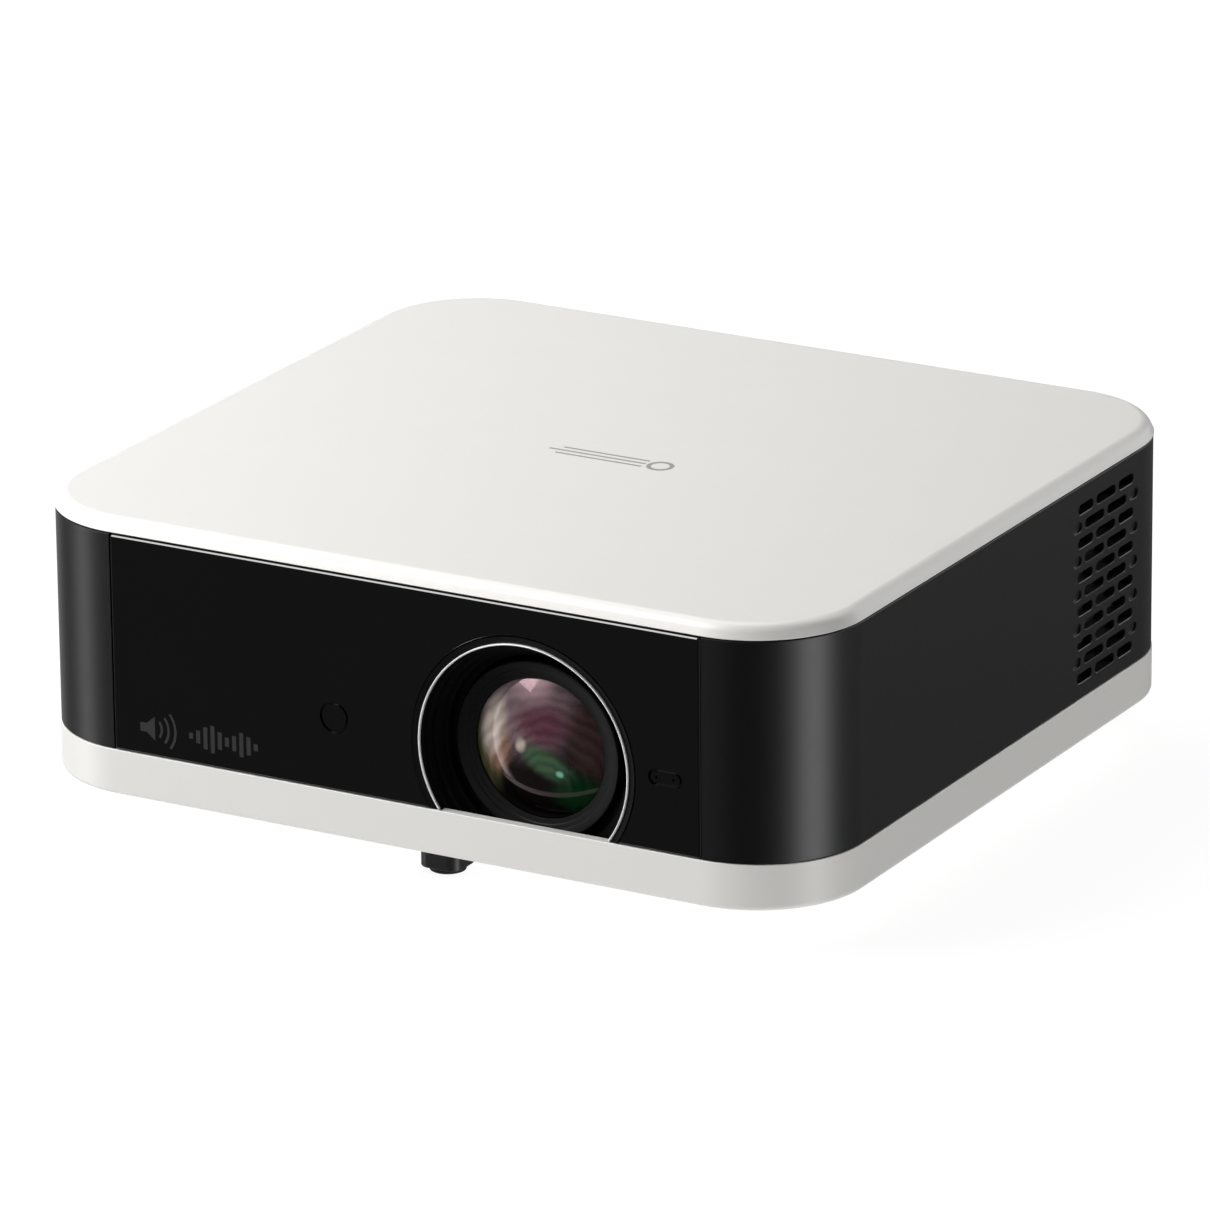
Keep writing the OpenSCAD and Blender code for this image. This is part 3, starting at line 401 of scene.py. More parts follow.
def ring_band(name, cu, cv, r0, r1, to_case, near, far, steps=64):
    """Flat ring between two radii and two depths."""
    section = ((r0, near), (r1, near), (r1, far), (r0, far))
    rings = []
    for k in range(steps):
        c, sn = math.cos(2 * math.pi * k / steps), math.sin(2 * math.pi * k / steps)
        rings.append([to_case(cu + r * c, cv + r * sn, d) for r, d in section])
    return loft(name, rings, closed=True)


def inlays(name, outlines, rings, to_case, near, far):
    """Thin solids of a pictogram between two depths."""
    solids = [loft("ink", [[to_case(u, v, d) for u, v in outline] for d in (near, far)])
              for outline in outlines]
    solids += [ring_band("ink", *ring, to_case, near, far) for ring in rings]
    return merge(name, solids)


def bar(u0, u1, v0, v1):
    """Rectangular stroke."""
    return [(u0, v0), (u1, v0), (u1, v1), (u0, v1)]


def wave(cu, cv, r, width, half_angle, steps=14):
    """Arc-shaped stroke that opens to the left."""
    outer = arc(cu, cv, r + width / 2, -half_angle, half_angle, steps)
    return outer + arc(cu, cv, r - width / 2, -half_angle, half_angle, steps)[::-1]


def boolean(obj, tool, operation="DIFFERENCE"):
    """Cuts tool from obj, or adds it, and removes tool."""
    step = obj.modifiers.new("boolean", "BOOLEAN")
    step.object = tool
    step.operation = operation
    step.solver = "EXACT"
    bake(obj)
    bpy.data.objects.remove(tool)
    return obj


def bake(obj):
    """Applies every modifier of obj to its mesh."""
    seen = obj.evaluated_get(bpy.context.evaluated_depsgraph_get())
    mesh = bpy.data.meshes.new_from_object(seen)
    obj.modifiers.clear()
    obj.data = mesh


def smooth(obj, angle=32.0):
    """Smooth shading that keeps flat faces flat and edges over angle sharp."""
    obj.data.shade_smooth()
    obj.data.set_sharp_from_angle(angle=math.radians(angle))
    even = obj.modifiers.new("even_normals", "WEIGHTED_NORMAL")
    even.keep_sharp = True
    even.weight = 80
    bake(obj)
    return obj


def place(obj, material, body, *nodes, slot=None, angle=32.0):
    """Finishes a piece: shading, material, body and the nodes it stands for. slot is not used."""
    smooth(obj, angle)
    obj.data.materials.clear()
    obj.data.materials.append(MATERIALS[material])
    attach(obj, body)
    if nodes:
        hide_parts(*nodes)
    return obj


def refined(node, material, body, edge=0.25, segments=2, angle=35.0):
    """A CAD node's shape with its flat faces cleaned and its edges rounded, edge in millimetres."""
    source = frame["nodes"][node]
    obj = bpy.data.objects.new(node + "_piece", source.data.copy())
    bpy.context.scene.collection.objects.link(obj)
    work = bmesh.new()
    work.from_mesh(obj.data)
    bmesh.ops.remove_doubles(work, verts=work.verts, dist=1e-6)
    bmesh.ops.dissolve_limit(work, angle_limit=math.radians(1.0), verts=work.verts, edges=work.edges)
    work.to_mesh(obj.data)
    work.free()
    round_off = obj.modifiers.new("round_off", "BEVEL")
    round_off.width = edge * MM
    round_off.segments = segments
    round_off.limit_method = "ANGLE"
    round_off.angle_limit = math.radians(angle)
    round_off.use_clamp_overlap = True
    bake(obj)
    return place(obj, material, body, node)


# ---------------------------------------------------------------- the case's places and sizes

LID_HEIGHT = 3.6
shell_low, shell_high = mm_box("side_shell")
base_low, base_high = mm_box("base_cover")
_, lid_high = mm_box("top_cover")
panel_low, panel_high = mm_box("front_panel")
lens_low, lens_high = mm_box("front_lens_group")
LENS = ((lens_low.x + lens_high.x) / 2, (lens_low.z + lens_high.z) / 2)

HALF_W = base_high.x
HALF_D = base_high.y
CORNER = 29.0
CORNER_STEPS = 24
WALL = 2.4
SHELL_INSET = HALF_W - shell_high.x
FRONT = -HALF_D
PANEL_THICK = 2.6
PANEL_BACK = FRONT + PANEL_THICK
BASE_BOTTOM = base_low.z
BASE_TOP = base_high.z
LID_BOTTOM = lid_high.z - LID_HEIGHT
LID_TOP = lid_high.z

# Pictograms are thin inlays in cut recesses
INK_CUT = -0.3
INK_NEAR = 0.01
INK_DEPTH = 0.15


def centre_of(node):
    """Middle of a CAD node's box, in millimetres."""
    low, high = mm_box(node)
    return (low + high) / 2


def case_ring(inset, z):
    """The case's outline, moved inwards by inset, at height z."""
    outline = rounded_rect(HALF_W - inset, HALF_D - inset, CORNER - inset, CORNER_STEPS)
    return [(x, y, z) for x, y in outline]


def fillet(inset, z, r, start, end, steps=7):
    """Rounded edge of (inset, z) points about the centre inset, z."""
    return arc(inset, z, r, start, end, steps)


def slot_cutter(name, outline, to_case, depth, lip=0.28):
    """Closed cutter for a slot with softened lips. to_case maps (u, v, depth) to the case."""
    rings = []
    for grow, deep in ((lip, -0.6), (lip, 0.0), (lip * 0.3, lip * 0.3), (0.0, lip), (0.0, depth)):
        ring = []
        for u, v in outline:
            length = math.hypot(u, v)
            ring.append(to_case(u + grow * u / length, v + grow * v / length, deep))
        rings.append(ring)
    return loft(name, rings)


def upright_cylinder(name, x, y, r, z0, z1, lip=0.0, steps=48):
    """Round bar along Z. A lip widens it by lip at z0, as a countersink's cutter."""
    around = [2 * math.pi * k / steps for k in range(steps)]
    levels = [(r, z0), (r, z1)]
    if lip:
        levels = [(r + lip, z0), (r + lip, BASE_BOTTOM), (r, BASE_BOTTOM + lip), (r, z1)]
    return loft(name, [[(x + q * math.cos(a), y + q * math.sin(a), z) for a in around] for q, z in levels])


# ---------------------------------------------------------------- base

# Open tray with a rolled bottom edge and a fine rim
BOTTOM_EDGE = 1.4
RIM_EDGE = 0.3
base_profile = ([(BOTTOM_EDGE, BASE_BOTTOM)]
                + fillet(BOTTOM_EDGE, BASE_BOTTOM + BOTTOM_EDGE, BOTTOM_EDGE, 270, 180)[1:]
                + fillet(RIM_EDGE, BASE_TOP - RIM_EDGE, RIM_EDGE, 180, 90, 4)
                + [(WALL, BASE_TOP), (WALL, BASE_BOTTOM + WALL)])
base = loft("base_cover_piece", [case_ring(inset, z) for inset, z in base_profile])

SCREW_HEAD_R = 2.9
REAR_FOOT_R = 8.6
foot_at = centre_of("foot_knob")
insert_at = centre_of("tripod_insert")
_, screw_high = mm_box("case_screws")
_, feet_high = mm_box("rear_feet")
FOOT_AT = [(foot_at.x, foot_at.y)]
INSERT_AT = [(insert_at.x, insert_at.y)]
SCREW_AT = [(sx * (screw_high.x - SCREW_HEAD_R), sy * (screw_high.y - SCREW_HEAD_R))
            for sx in (-1, 1) for sy in (-1, 1)]
REAR_FOOT_AT = [(sx * (feet_high.x - REAR_FOOT_R), feet_high.y - REAR_FOOT_R) for sx in (-1, 1)]


def upright_set(name, rows):
    """Upright cylinders at each place of each row: (places, radius, bottom, top, lip)."""
    return merge(name, [upright_cylinder(name, x, y, r, z0, z1, lip)
                        for places, r, z0, z1, lip in rows for x, y in places])


# Bosses start inside the floor. The drills start below it, and those with a lip are countersunk
BOSS_FOOT = BASE_BOTTOM + 2
BELOW = BASE_BOTTOM - 1
boolean(base, upright_set("bosses", [
    (FOOT_AT, 10, BOSS_FOOT, BASE_BOTTOM + 11.5, 0.0),
    (INSERT_AT, 9, BOSS_FOOT, BASE_BOTTOM + 10, 0.0),
    (SCREW_AT, 4.5, BOSS_FOOT, BASE_TOP - 0.4, 0.0),
    (REAR_FOOT_AT, 6, BOSS_FOOT, BASE_BOTTOM + 6, 0.0)]), "UNION")
boolean(base, upright_set("drills", [
    (FOOT_AT, 7.05, BELOW, BASE_BOTTOM + 13, 0.4),
    (INSERT_AT, 6.05, BELOW, BASE_BOTTOM + 12, 0.4),
    (SCREW_AT, 3.4, BELOW, BASE_BOTTOM + 3.2, 0.3),
    (REAR_FOOT_AT, 2.6, BELOW, BASE_BOTTOM + 4, 0.0)]))
boolean(base, upright_set("screw_bores", [(SCREW_AT, 1.6, BASE_BOTTOM + 3.1, BASE_TOP + 1, 0.0)]))
place(base, "white_shell", "case", "base_cover")


# ---------------------------------------------------------------- lid

# Flat plate whose edge leans in and then rolls over, hollow below
LID_DRAFT = 26.0
LID_WALL = 1.5
LID_FOOT = 0.2
LID_RIM = 3.0
LID_PLATE = 2.3
lid_lean = LID_WALL * math.tan(math.radians(LID_DRAFT))
lid_edge = (LID_TOP - LID_BOTTOM - LID_FOOT - LID_WALL) / (1 - math.sin(math.radians(LID_DRAFT)))
lid_profile = ([(LID_FOOT, LID_BOTTOM), (0.0, LID_BOTTOM + LID_FOOT)]
               + fillet(lid_lean + lid_edge * math.cos(math.radians(LID_DRAFT)), LID_TOP - lid_edge, lid_edge,
                        180 - LID_DRAFT, 90, 10))
underside = [(LID_RIM, LID_BOTTOM), (LID_RIM, LID_TOP - LID_PLATE)]
lid = loft("top_cover_piece", [case_ring(inset, z) for inset, z in underside[::-1] + lid_profile])
# A small beam: a ring with three bars
TOP_MARK = [bar(-10.0, 18.0 - 3.0 * abs(k), 2.3 * k - 0.45, 2.3 * k + 0.45) for k in (-1, 0, 1)]
TOP_RINGS = [(-14.2, 0.0, 2.4, 3.6)]
TOP_MARK_AT = (3.0, -4.5)


def on_lid(u, v, deep):
    """The lid's mark reads from behind the case."""
    return (TOP_MARK_AT[0] - u, TOP_MARK_AT[1] - v, LID_TOP - deep)


boolean(lid, inlays("ink_cut", TOP_MARK, TOP_RINGS, on_lid, INK_CUT, INK_DEPTH))
place(lid, "white_shell", "case", "top_cover")
place(inlays("beam_mark", TOP_MARK, TOP_RINGS, on_lid, INK_NEAR, INK_DEPTH), "mark_grey", "case",
      slot="white_shell")


# ---------------------------------------------------------------- side shell

# A wall that runs from one side of the front panel round the back to the other

def shell_section(x, y, nx, ny):
    """Wall section at a point of the outline, with outward normal (nx, ny)."""
    thick = WALL + 0.2
    z0, z1, e = shell_low.z, shell_high.z, 0.3
    outer = [(0, z0 + e), (0, z1 - e), (e * 0.3, z1 - e * 0.3), (e, z1), (thick, z1), (thick, z0), (e, z0),
             (e * 0.3, z0 + e * 0.3)]
    return [(x - d * nx, y - d * ny, z) for d, z in outer]


def shell_path():
    """Outline points with their normals, anticlockwise from the panel's right edge."""
    r = CORNER - SHELL_INSET
    cx, cy = HALF_W - CORNER, HALF_D - CORNER
    path = []
    for (x, y), first in (((cx, -cy), -90), ((cx, cy), 0), ((-cx, cy), 90), ((-cx, -cy), 180)):
        for i in range(CORNER_STEPS + 1):
            a = math.radians(first + 90 * i / CORNER_STEPS)
            path.append((x + r * math.cos(a), y + r * math.sin(a), math.cos(a), math.sin(a)))
    return path


shell = loft("side_shell_piece", [shell_section(*p) for p in shell_path()])

vent_at = centre_of("exhaust_fan_frame")
ROW_PITCH = 4.52
SLOT_PITCH = 12.6
SLOT_LEN = 10.7
SLOT_H = 2.6
SHORT_LEN = SLOT_LEN - 2.4
POCKET_LEN = 4.6
POCKET_DEPTH = 0.7
THROUGH_DEPTH = 6.0


def vent_field():
    """(u, v, length, depth) of each slot in a side vent. Every other row ends in blind pockets."""
    slots = []
    for row in range(-5, 6):
        v = row * ROW_PITCH
        if row % 2:
            slots.append((0.0, v, SLOT_LEN, THROUGH_DEPTH))
            edge = SLOT_PITCH - (SLOT_LEN - SHORT_LEN) / 2
            slots += [(s * edge, v, SHORT_LEN, THROUGH_DEPTH) for s in (-1, 1)]
        else:
            slots += [(s * SLOT_PITCH / 2, v, SLOT_LEN, THROUGH_DEPTH) for s in (-1, 1)]
            edge = 1.5 * SLOT_PITCH - SLOT_LEN / 2 + POCKET_LEN / 2
            slots += [(s * edge, v, POCKET_LEN, POCKET_DEPTH) for s in (-1, 1)]
    return slots


def speaker_field():
    """(u, v) of each slot in a loudspeaker grille."""
    slots = []
    for row in range(-4, 5):
        shift = SLOT_PITCH / 2 if row % 2 else 0.0
        columns = (-1, 0) if row % 2 else (-1, 0, 1)
        slots += [(k * SLOT_PITCH + shift, row * ROW_PITCH) for k in columns]
    return slots


cutters = []
for side in (-1, 1):
    face = side * (HALF_W - SHELL_INSET)
    for u, v, length, depth in vent_field():
        def on_side(a, b, deep, u=u, v=v, face=face, side=side):
            return (face - side * deep, vent_at.y + u + a, vent_at.z + v + b)
        cutters.append(slot_cutter("slot", stadium(length / 2, SLOT_H / 2), on_side, depth))
speaker_at = centre_of("speaker_frames")
rear_face = HALF_D - SHELL_INSET
for side in (-1, 1):
    middle = side * centre_of("speaker_cone_right").x
    for u, v in speaker_field():
        def on_back(a, b, deep, u=u, v=v, middle=middle):
            return (middle + u + a, rear_face - deep, speaker_at.z + v + b)
        cutters.append(slot_cutter("slot", stadium(SLOT_LEN / 2, SLOT_H / 2), on_back, THROUGH_DEPTH))

# Opening for the connector bay
BAY_HALF_W = 38.0
BAY_HALF_H = 11.0
BAY_Z = 39.0


def on_bay(a, b, deep):
    return (a, rear_face - deep, BAY_Z + b)


cutters.append(slot_cutter("bay", rounded_rect(BAY_HALF_W, BAY_HALF_H, 1.0, 5), on_bay, THROUGH_DEPTH, 0.3))
boolean(shell, merge("shell_cutters", cutters))
place(shell, "black_shell", "case", "side_shell")


# ---------------------------------------------------------------- front panel and lens recess

def across(outline, y, cx=0.0, cz=0.0):
    """An (x, z) outline at depth y."""
    return [(cx + u, y, cz + v) for u, v in outline]


panel_mid = (panel_low + panel_high) / 2
panel_half_w = panel_high.x
panel_half_h = (panel_high.z - panel_low.z) / 2
CHAMFER = 0.55
PANEL_CORNER = 0.8
panel_rings = []
for inset, depth in ((CHAMFER, 0.0), (CHAMFER * 0.82, 0.02), (0.06, CHAMFER * 0.7), (0.0, CHAMFER),
                     (0.0, PANEL_THICK)):
    outline = rounded_rect(panel_half_w - inset, panel_half_h - inset, PANEL_CORNER - inset, 5)
    panel_rings.append(across(outline, FRONT + depth, panel_mid.x, panel_mid.z))
panel = loft("front_panel_piece", panel_rings)
SHROUD_R = mm_box("lens_shroud")[1].x - LENS[0]
camera_at = centre_of("camera_window")
range_at = centre_of("range_window")
# Hole cutters start in front of the panel and end behind it
OUTSIDE = FRONT - 1
INSIDE = FRONT + 4
CAMERA_HOLE_R = 4.15
RANGE_HOLE = stadium(4.7, 2.1)
holes = [dish("hole", [(0.0, OUTSIDE), (SHROUD_R + 0.5, OUTSIDE), (SHROUD_R + 0.5, FRONT),
                       (SHROUD_R + 0.1, FRONT + 0.4), (SHROUD_R + 0.1, INSIDE), (0.0, INSIDE)], LENS, 128),
         dish("hole", [(0.0, OUTSIDE), (CAMERA_HOLE_R, OUTSIDE), (CAMERA_HOLE_R, INSIDE), (0.0, INSIDE)],
              (camera_at.x, camera_at.z), 64),
         loft("hole", [across(RANGE_HOLE, y, range_at.x, range_at.z) for y in (OUTSIDE, INSIDE)])]
boolean(panel, merge("panel_holes", holes))

# A loudspeaker with three waves, and a row of level bars
LEVELS = (0.8, 1.7, 2.9, 3.6, 2.3, 1.2, 2.0, 3.2, 2.4, 0.9)
SOUND_MARK = [[(-17.5, -1.2), (-15.6, -1.2), (-13.2, -3.2), (-13.2, 3.2), (-15.6, 1.2), (-17.5, 1.2)]]
SOUND_MARK += [wave(-14.6, 0.0, 3.4 + 2.0 * k, 0.7, 38) for k in range(3)]
SOUND_MARK += [bar(-3.2 + 2.1 * k, -2.0 + 2.1 * k, -h, h) for k, h in enumerate(LEVELS)]
MARK_AT = (-58.5, 31.6)


def on_panel(u, v, deep):
    return (MARK_AT[0] + u, FRONT + deep, MARK_AT[1] + v)


boolean(panel, inlays("ink_cut", SOUND_MARK, [], on_panel, INK_CUT, INK_DEPTH))
place(panel, "gloss_panel", "case", "front_panel")
place(inlays("sound_mark", SOUND_MARK, [], on_panel, INK_NEAR, INK_DEPTH), "mark_dark", "case",
      slot="gloss_panel")

# Camera window: a disc in a sunk ring
camera_profile = [(0.0, FRONT + 0.06), (3.4, FRONT + 0.06), (3.4, FRONT + 0.5), (4.1, FRONT + 0.5),
                  (4.1, FRONT + 1.4), (0.0, FRONT + 1.4)]
camera_piece = turned("camera_window_piece", camera_profile, (camera_at.x, camera_at.z), 64)
place(camera_piece, "dark_window", "case", "camera_window")

# Range window: a pad in a groove, with two sensor holes
EYE_R = 0.42
EYE_X = 2.4
eye_profile = [(0.0, FRONT - 0.5), (EYE_R, FRONT - 0.5), (EYE_R, FRONT + 0.5), (0.0, FRONT + 0.5)]
pad_rings = [across(stadium(4.65 - g, 2.05 - g), FRONT + d, range_at.x, range_at.z)
             for g, d in ((0.6, 0.06), (0.6, 0.9), (0.0, 0.9), (0.0, 1.3))]
range_piece = loft("range_window_piece", pad_rings)
boolean(range_piece, merge("eyes", [turned("eye", eye_profile, (range_at.x + s * EYE_X, range_at.z), 24)
                                    for s in (-1, 1)]))
place(range_piece, "dark_window", "case", "range_window")

# Trim ring: a thin rounded band, open where the base's rim cuts across the lens
trim_low, trim_high = mm_box("lens_trim_ring")
TRIM_R = trim_high.x - LENS[0]
cut_angle = math.degrees(math.asin((trim_low.z - LENS[1]) / TRIM_R))
TRIM_DEPTH = 0.6
trim_section = [(TRIM_R - 0.5, FRONT + TRIM_DEPTH), (TRIM_R, FRONT + TRIM_DEPTH), (TRIM_R, FRONT + 0.2),
                (TRIM_R - 0.08, FRONT + 0.06), (TRIM_R - 0.25, FRONT), (TRIM_R - 0.42, FRONT + 0.06),
                (TRIM_R - 0.5, FRONT + 0.2)]
trim = lathe("lens_trim_ring_piece", trim_section, LENS, cut_angle, 180 - cut_angle, 144)
place(trim, "bright_trim", "case", "lens_trim_ring")

# Recess: a coned lip outside the trim ring and fine steps inside it, as (radius, depth)
RECESS = [(SHROUD_R, 0.15), (TRIM_R + 0.05, 0.5), (TRIM_R + 0.05, TRIM_DEPTH + 0.05),
          (TRIM_R - 0.48, TRIM_DEPTH + 0.05), (TRIM_R - 0.48, 2.3), (28.2, 2.3), (28.2, 4.6), (26.8, 4.6),
          (26.8, 7.2), (25.4, 7.2), (25.4, 9.8), (23.8, 9.8), (23.8, 13.0), (SHROUD_R, 13.0)]
recess_profile = [(r, FRONT + depth) for r, depth in RECESS]
shroud = lathe("lens_shroud_piece", recess_profile, LENS, steps=144)
shroud_low, _ = mm_box("lens_shroud")
boolean(shroud, block("cut", (-HALF_W, FRONT - 5, 0.0), (HALF_W, PANEL_BACK + 0.1, BASE_TOP + 0.15)))
boolean(shroud, block("cut", (-HALF_W, FRONT - 5, 0.0), (HALF_W, 0.0, shroud_low.z)))
place(shroud, "black_inner", "case", "lens_shroud", angle=28.0)


# ---------------------------------------------------------------- lens

cell_low, cell_high = mm_box("lens_cell")
CELL_R = (cell_high.x - cell_low.x) / 2
GLASS_R = (lens_high.x - lens_low.x) / 2
CELL_FRONT = cell_low.y
CELL_BACK = cell_high.y
NECK_R = 17.2
CELL_BORE_R = 14.8
FRONT_BALL_R = 35.0
GLASS_EDGE = 0.2
RIM_Y = lens_low.y + FRONT_BALL_R - math.sqrt(FRONT_BALL_R ** 2 - GLASS_R ** 2)
# Fine ridges in the bore stop stray light
ridge_at = [CELL_FRONT + 41.0 - 1.4 * k for k in range(12)] + [CELL_FRONT + 16.4 - 1.1 * k for k in range(3)]
bore_ridges = [point for y in ridge_at
               for point in ((CELL_BORE_R, y), (CELL_BORE_R - 0.9, y - 0.3), (CELL_BORE_R, y - 0.6))]
cell_profile = [
    (CELL_R - 0.3, CELL_FRONT), (CELL_R, CELL_FRONT + 0.3), (CELL_R, CELL_FRONT + 13.5),
    (NECK_R, CELL_FRONT + 13.5), (NECK_R, CELL_BACK), (CELL_BORE_R, CELL_BACK), *bore_ridges,
    (CELL_BORE_R, CELL_FRONT + 5.5), (GLASS_R + 0.05, CELL_FRONT + 5.5), (GLASS_R + 0.05, RIM_Y - 0.3),
    (GLASS_R - 0.35, RIM_Y - 0.45), (GLASS_R - 0.2, RIM_Y - 0.75), (GLASS_R + 0.9, RIM_Y - 0.95),
    (GLASS_R + 1.1, RIM_Y - 1.25), (GLASS_R + 2.2, CELL_FRONT + 0.75), (GLASS_R + 2.4, CELL_FRONT + 0.35),
    (GLASS_R + 3.4, CELL_FRONT + 0.1)]
cell = lathe("lens_cell_piece", cell_profile, LENS, steps=144)
place(cell, "cell_metal", "front_cell", "lens_cell")



def bowl(r, ball_r, y0, side, steps=12):
    """Lens face from the axis to its rim. side is 1 if it bulges to the front, -1 if it is hollow."""
    reach = math.asin(r / ball_r)
    deep = ball_r * (1 - math.cos(reach))
    start = y0 if side > 0 else y0 + deep
    return [(ball_r * math.sin(reach * i / steps), start + side * ball_r * (1 - math.cos(reach * i / steps)))
            for i in range(steps + 1)]


GLASS_BACK = lens_low.y + 8.5
# The front glass's base colour carries painted reflections and highlights
paint_lens_reflections(MATERIALS["coated_glass"], LENS, GLASS_R, 0.5)
front_glass = turned("front_glass_piece", bowl(GLASS_R, FRONT_BALL_R, lens_low.y, 1, 16)
                     + [(GLASS_R, GLASS_BACK - GLASS_EDGE), (GLASS_R - GLASS_EDGE, GLASS_BACK),
                        (0.0, GLASS_BACK)], LENS)
place(front_glass, "coated_glass", "front_cell", "front_lens_group", slot="coated_glass")

# The two coated elements behind it, which show through
INNER_GLASS_R = 14.7
second = turned("second_glass_piece", bowl(INNER_GLASS_R, 26.0, CELL_FRONT + 7.5, 1)
                + [(INNER_GLASS_R, CELL_FRONT + 12.9), (0.0, CELL_FRONT + 12.9)], LENS)
place(second, "coated_rose", "front_cell", "front_lens_group", slot="coated_glass")
third = turned("third_glass_piece", bowl(INNER_GLASS_R, 24.0, CELL_FRONT + 17, -1)
               + [(INNER_GLASS_R, CELL_FRONT + 24), (0.0, CELL_FRONT + 24)], LENS)
place(third, "coated_green", "front_cell", "front_lens_group", slot="coated_glass")


# ---------------------------------------------------------------- other pieces from the CAD

CASE_PIECES = {
    "port_tray": ("black_inner", 0.3), "power_inlet": ("black_inner", 0.2), "hdmi_port": ("steel", 0.12),
    "usb_port": ("steel", 0.12), "audio_jack": ("black_inner", 0.2), "status_light": ("light_pipe", 0.1),
    "tripod_insert": ("brass", 0.25), "foot_nut": ("brass", 0.25), "rear_feet": ("foot_plastic", 0.6),
    "rear_foot_pads": ("foot_rubber", 0.5), "case_screws": ("steel", 0.12),
}
for node, (material, edge) in CASE_PIECES.items():
    refined(node, material, "case", edge)
refined("power_button", "button_plastic", "button", 0.25)
refined("foot_knob", "foot_plastic", "foot_grip", 0.5, 3)
refined("foot_pad", "foot_rubber", "foot_rest", 0.35)

# Every CAD node gets its slot's material, whether it shows or not
for entry in frame["record"]["subparts"]:
    obj = frame["nodes"][entry["node"]]
    obj.data.materials.clear()
    obj.data.materials.append(MATERIALS[entry["material_slot"]])


# ---------------------------------------------------------------- floor and light

FLOOR = 8.0
FLOOR_GLOW = 0.92
CASE_MIDDLE = Vector((0.0, 0.0, 0.05))


def flat_card(name, corners):
    """A flat backdrop piece with the given corners, in metres."""
    mesh = bpy.data.meshes.new(name)
    mesh.from_pydata(corners, [], [tuple(range(len(corners)))])
    card = bpy.data.objects.new(name, mesh)
    bpy.context.scene.collection.objects.link(card)
    return card


# The floor is a light table: it glows evenly, with a faint shadow, and stays out of reflections
floor = flat_card("floor", [(-FLOOR, -FLOOR, 0), (FLOOR, -FLOOR, 0), (FLOOR, FLOOR, 0), (-FLOOR, FLOOR, 0)])
floor_glow = surface("light_table", (0.14, 0.14, 0.14), 0.9, specular=0.1, mottle=0.004, grain=300.0,
                     bump=0.02)
floor_shader = floor_glow.node_tree.nodes["Principled BSDF"]
floor_shader.inputs["Emission Color"].default_value = (1.0, 1.0, 1.0, 1.0)
floor_shader.inputs["Emission Strength"].default_value = FLOOR_GLOW
floor.data.materials.append(floor_glow)
floor.visible_glossy = False


def softbox(name, azimuth, elevation, distance, size, power):
    """Square area light that faces the case. Angles in degrees, azimuth from +X towards +Y."""
    data = bpy.data.lights.new(name, "AREA")
    data.shape = "SQUARE"
    data.size = size
    data.energy = power
    light = bpy.data.objects.new(name, data)
    a, e = math.radians(azimuth), math.radians(elevation)
    out = Vector((math.cos(a) * math.cos(e), math.sin(a) * math.cos(e), math.sin(e)))
    light.location = CASE_MIDDLE + out * distance
    light.rotation_euler = (-out).to_track_quat("-Z", "Y").to_euler()
    bpy.context.scene.collection.objects.link(light)


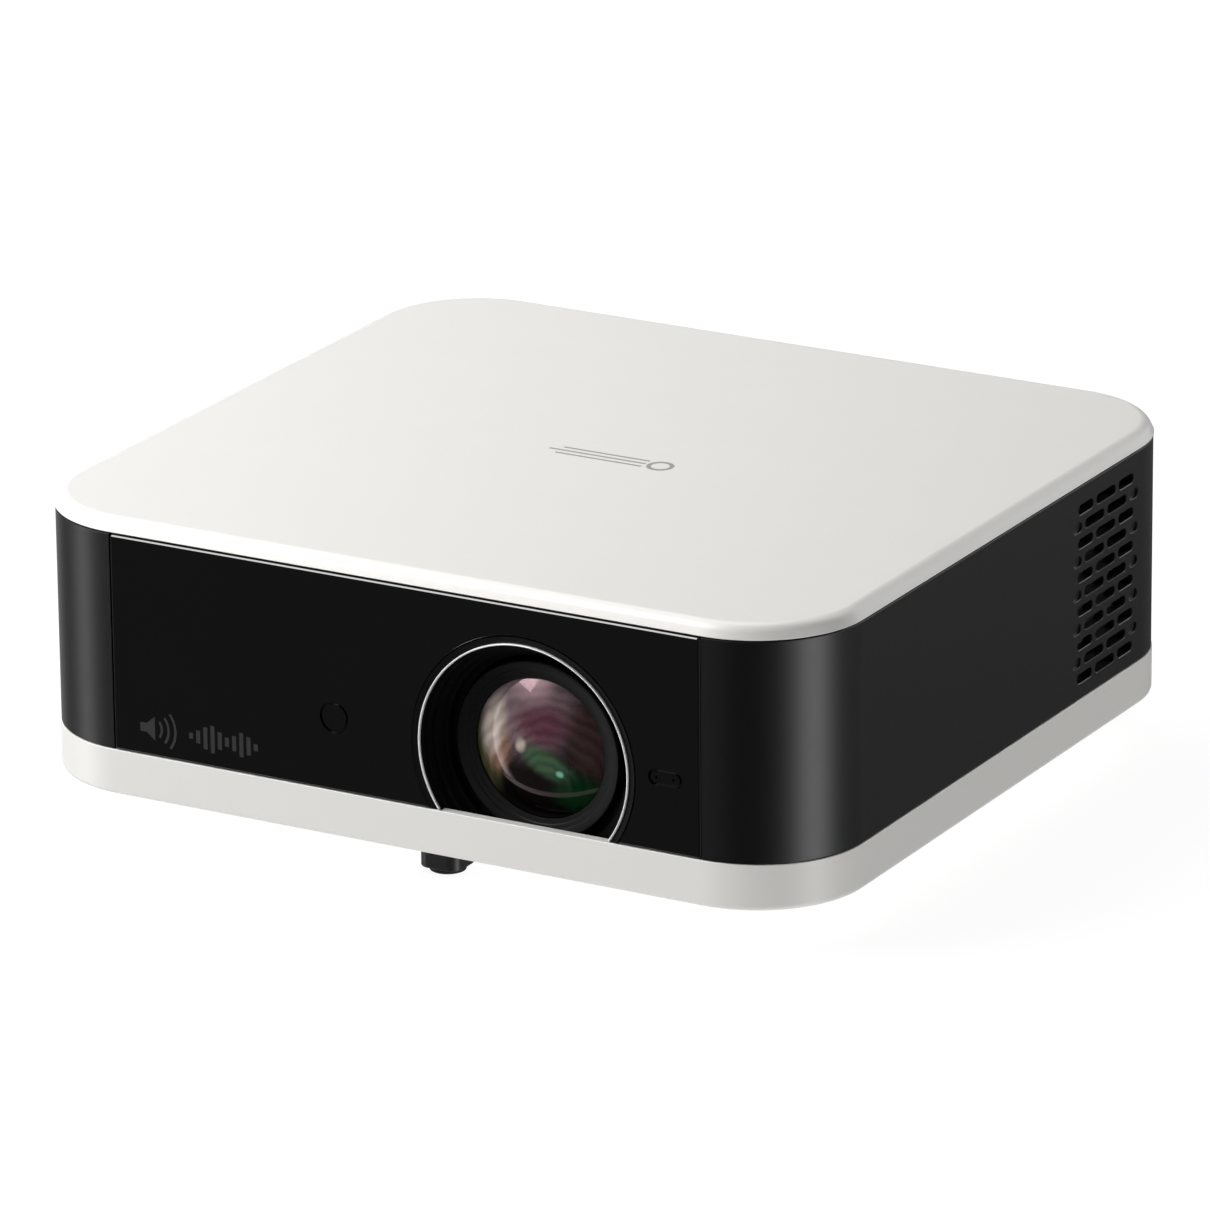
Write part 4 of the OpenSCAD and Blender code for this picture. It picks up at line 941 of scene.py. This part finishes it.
def strip(name, start, end, radiance, low, high, distance=1.3, clear=True):
    """Upright studio strip that only shows in reflections, between two azimuths in degrees and two heights.
    It fades over half its width and 0.3 of its height. A clear one adds its light to what is behind it."""
    (x0, y0), (x1, y1) = [(distance * math.cos(math.radians(a)), distance * math.sin(math.radians(a)))
                          for a in (start, end)]
    card = flat_card(name, [(x0, y0, low), (x1, y1, low), (x1, y1, high), (x0, y0, high)])
    uv = card.data.uv_layers.new(name="across")
    for loop, corner in zip(uv.data, ((0, 0), (1, 0), (1, 1), (0, 1))):
        loop.uv = corner
    mat, tree, shader = new_tree(name)
    shader.inputs["Base Color"].default_value = (0, 0, 0, 1)
    shader.inputs["Specular IOR Level"].default_value = 0.0
    shader.inputs["Emission Color"].default_value = (1, 1, 1, 1)
    coords = tree.nodes.new("ShaderNodeTexCoord")
    split = tree.nodes.new("ShaderNodeSeparateXYZ")
    link(tree, coords, "UV", split, "Vector")
    glow = tree.nodes.new("ShaderNodeMath")
    glow.operation = "MULTIPLY"
    for k, (axis, fade) in enumerate((("X", 0.5), ("Y", 0.3))):
        arch = tree.nodes.new("ShaderNodeMath")
        arch.operation = "PINGPONG"
        arch.inputs[1].default_value = 0.5
        link(tree, split, axis, arch, 0)
        ease = tree.nodes.new("ShaderNodeMapRange")
        ease.interpolation_type = "SMOOTHERSTEP"
        ease.inputs["From Max"].default_value = fade
        link(tree, arch, "Value", ease, "Value")
        link(tree, ease, "Result", glow, k)
    power = tree.nodes.new("ShaderNodeMath")
    power.operation = "MULTIPLY"
    power.inputs[1].default_value = radiance
    link(tree, glow, "Value", power, 0)
    link(tree, power, "Value", shader, "Emission Strength")
    if clear:
        through = tree.nodes.new("ShaderNodeBsdfTransparent")
        both = tree.nodes.new("ShaderNodeAddShader")
        link(tree, shader, "BSDF", both, 0)
        link(tree, through, "BSDF", both, 1)
        link(tree, both, "Shader", tree.nodes["Material Output"], "Surface")
    mat.cycles.emission_sampling = "NONE"
    card.data.materials.append(mat)
    card.visible_camera = False
    card.visible_diffuse = False
    card.visible_shadow = False


softbox("key", -142, 41, 1.15, 0.75, 11.1)
softbox("top", 150, 62, 1.2, 1.0, 9.3)
# name, first and last azimuth, radiance, low and high edge
strip("right_strip", -34, 15, 3.9, -3.2, 1.4)
strip("left_strip", -168, -142, 2.9, -3.2, 1.4)
strip("front_strip", -172, -96, 9.0, 0.08, 2.8)
strip("side_low", 20, 95, 4.6, -0.03, 0.75)
strip("side_high", 20, 95, 2.4, 0.3, 2.6)
strip("back_strip", 118, 176, 0.5, -3.0, 1.4)
strip("dark_strip", -88, -44, 0.0, -3.0, 0.75, clear=False)

world = bpy.data.worlds.new("studio")
world.use_nodes = True
world.node_tree.nodes["Background"].inputs["Color"].default_value = (1.0, 1.0, 1.0, 1.0)
world.node_tree.nodes["Background"].inputs["Strength"].default_value = 0.1
bpy.context.scene.world = world
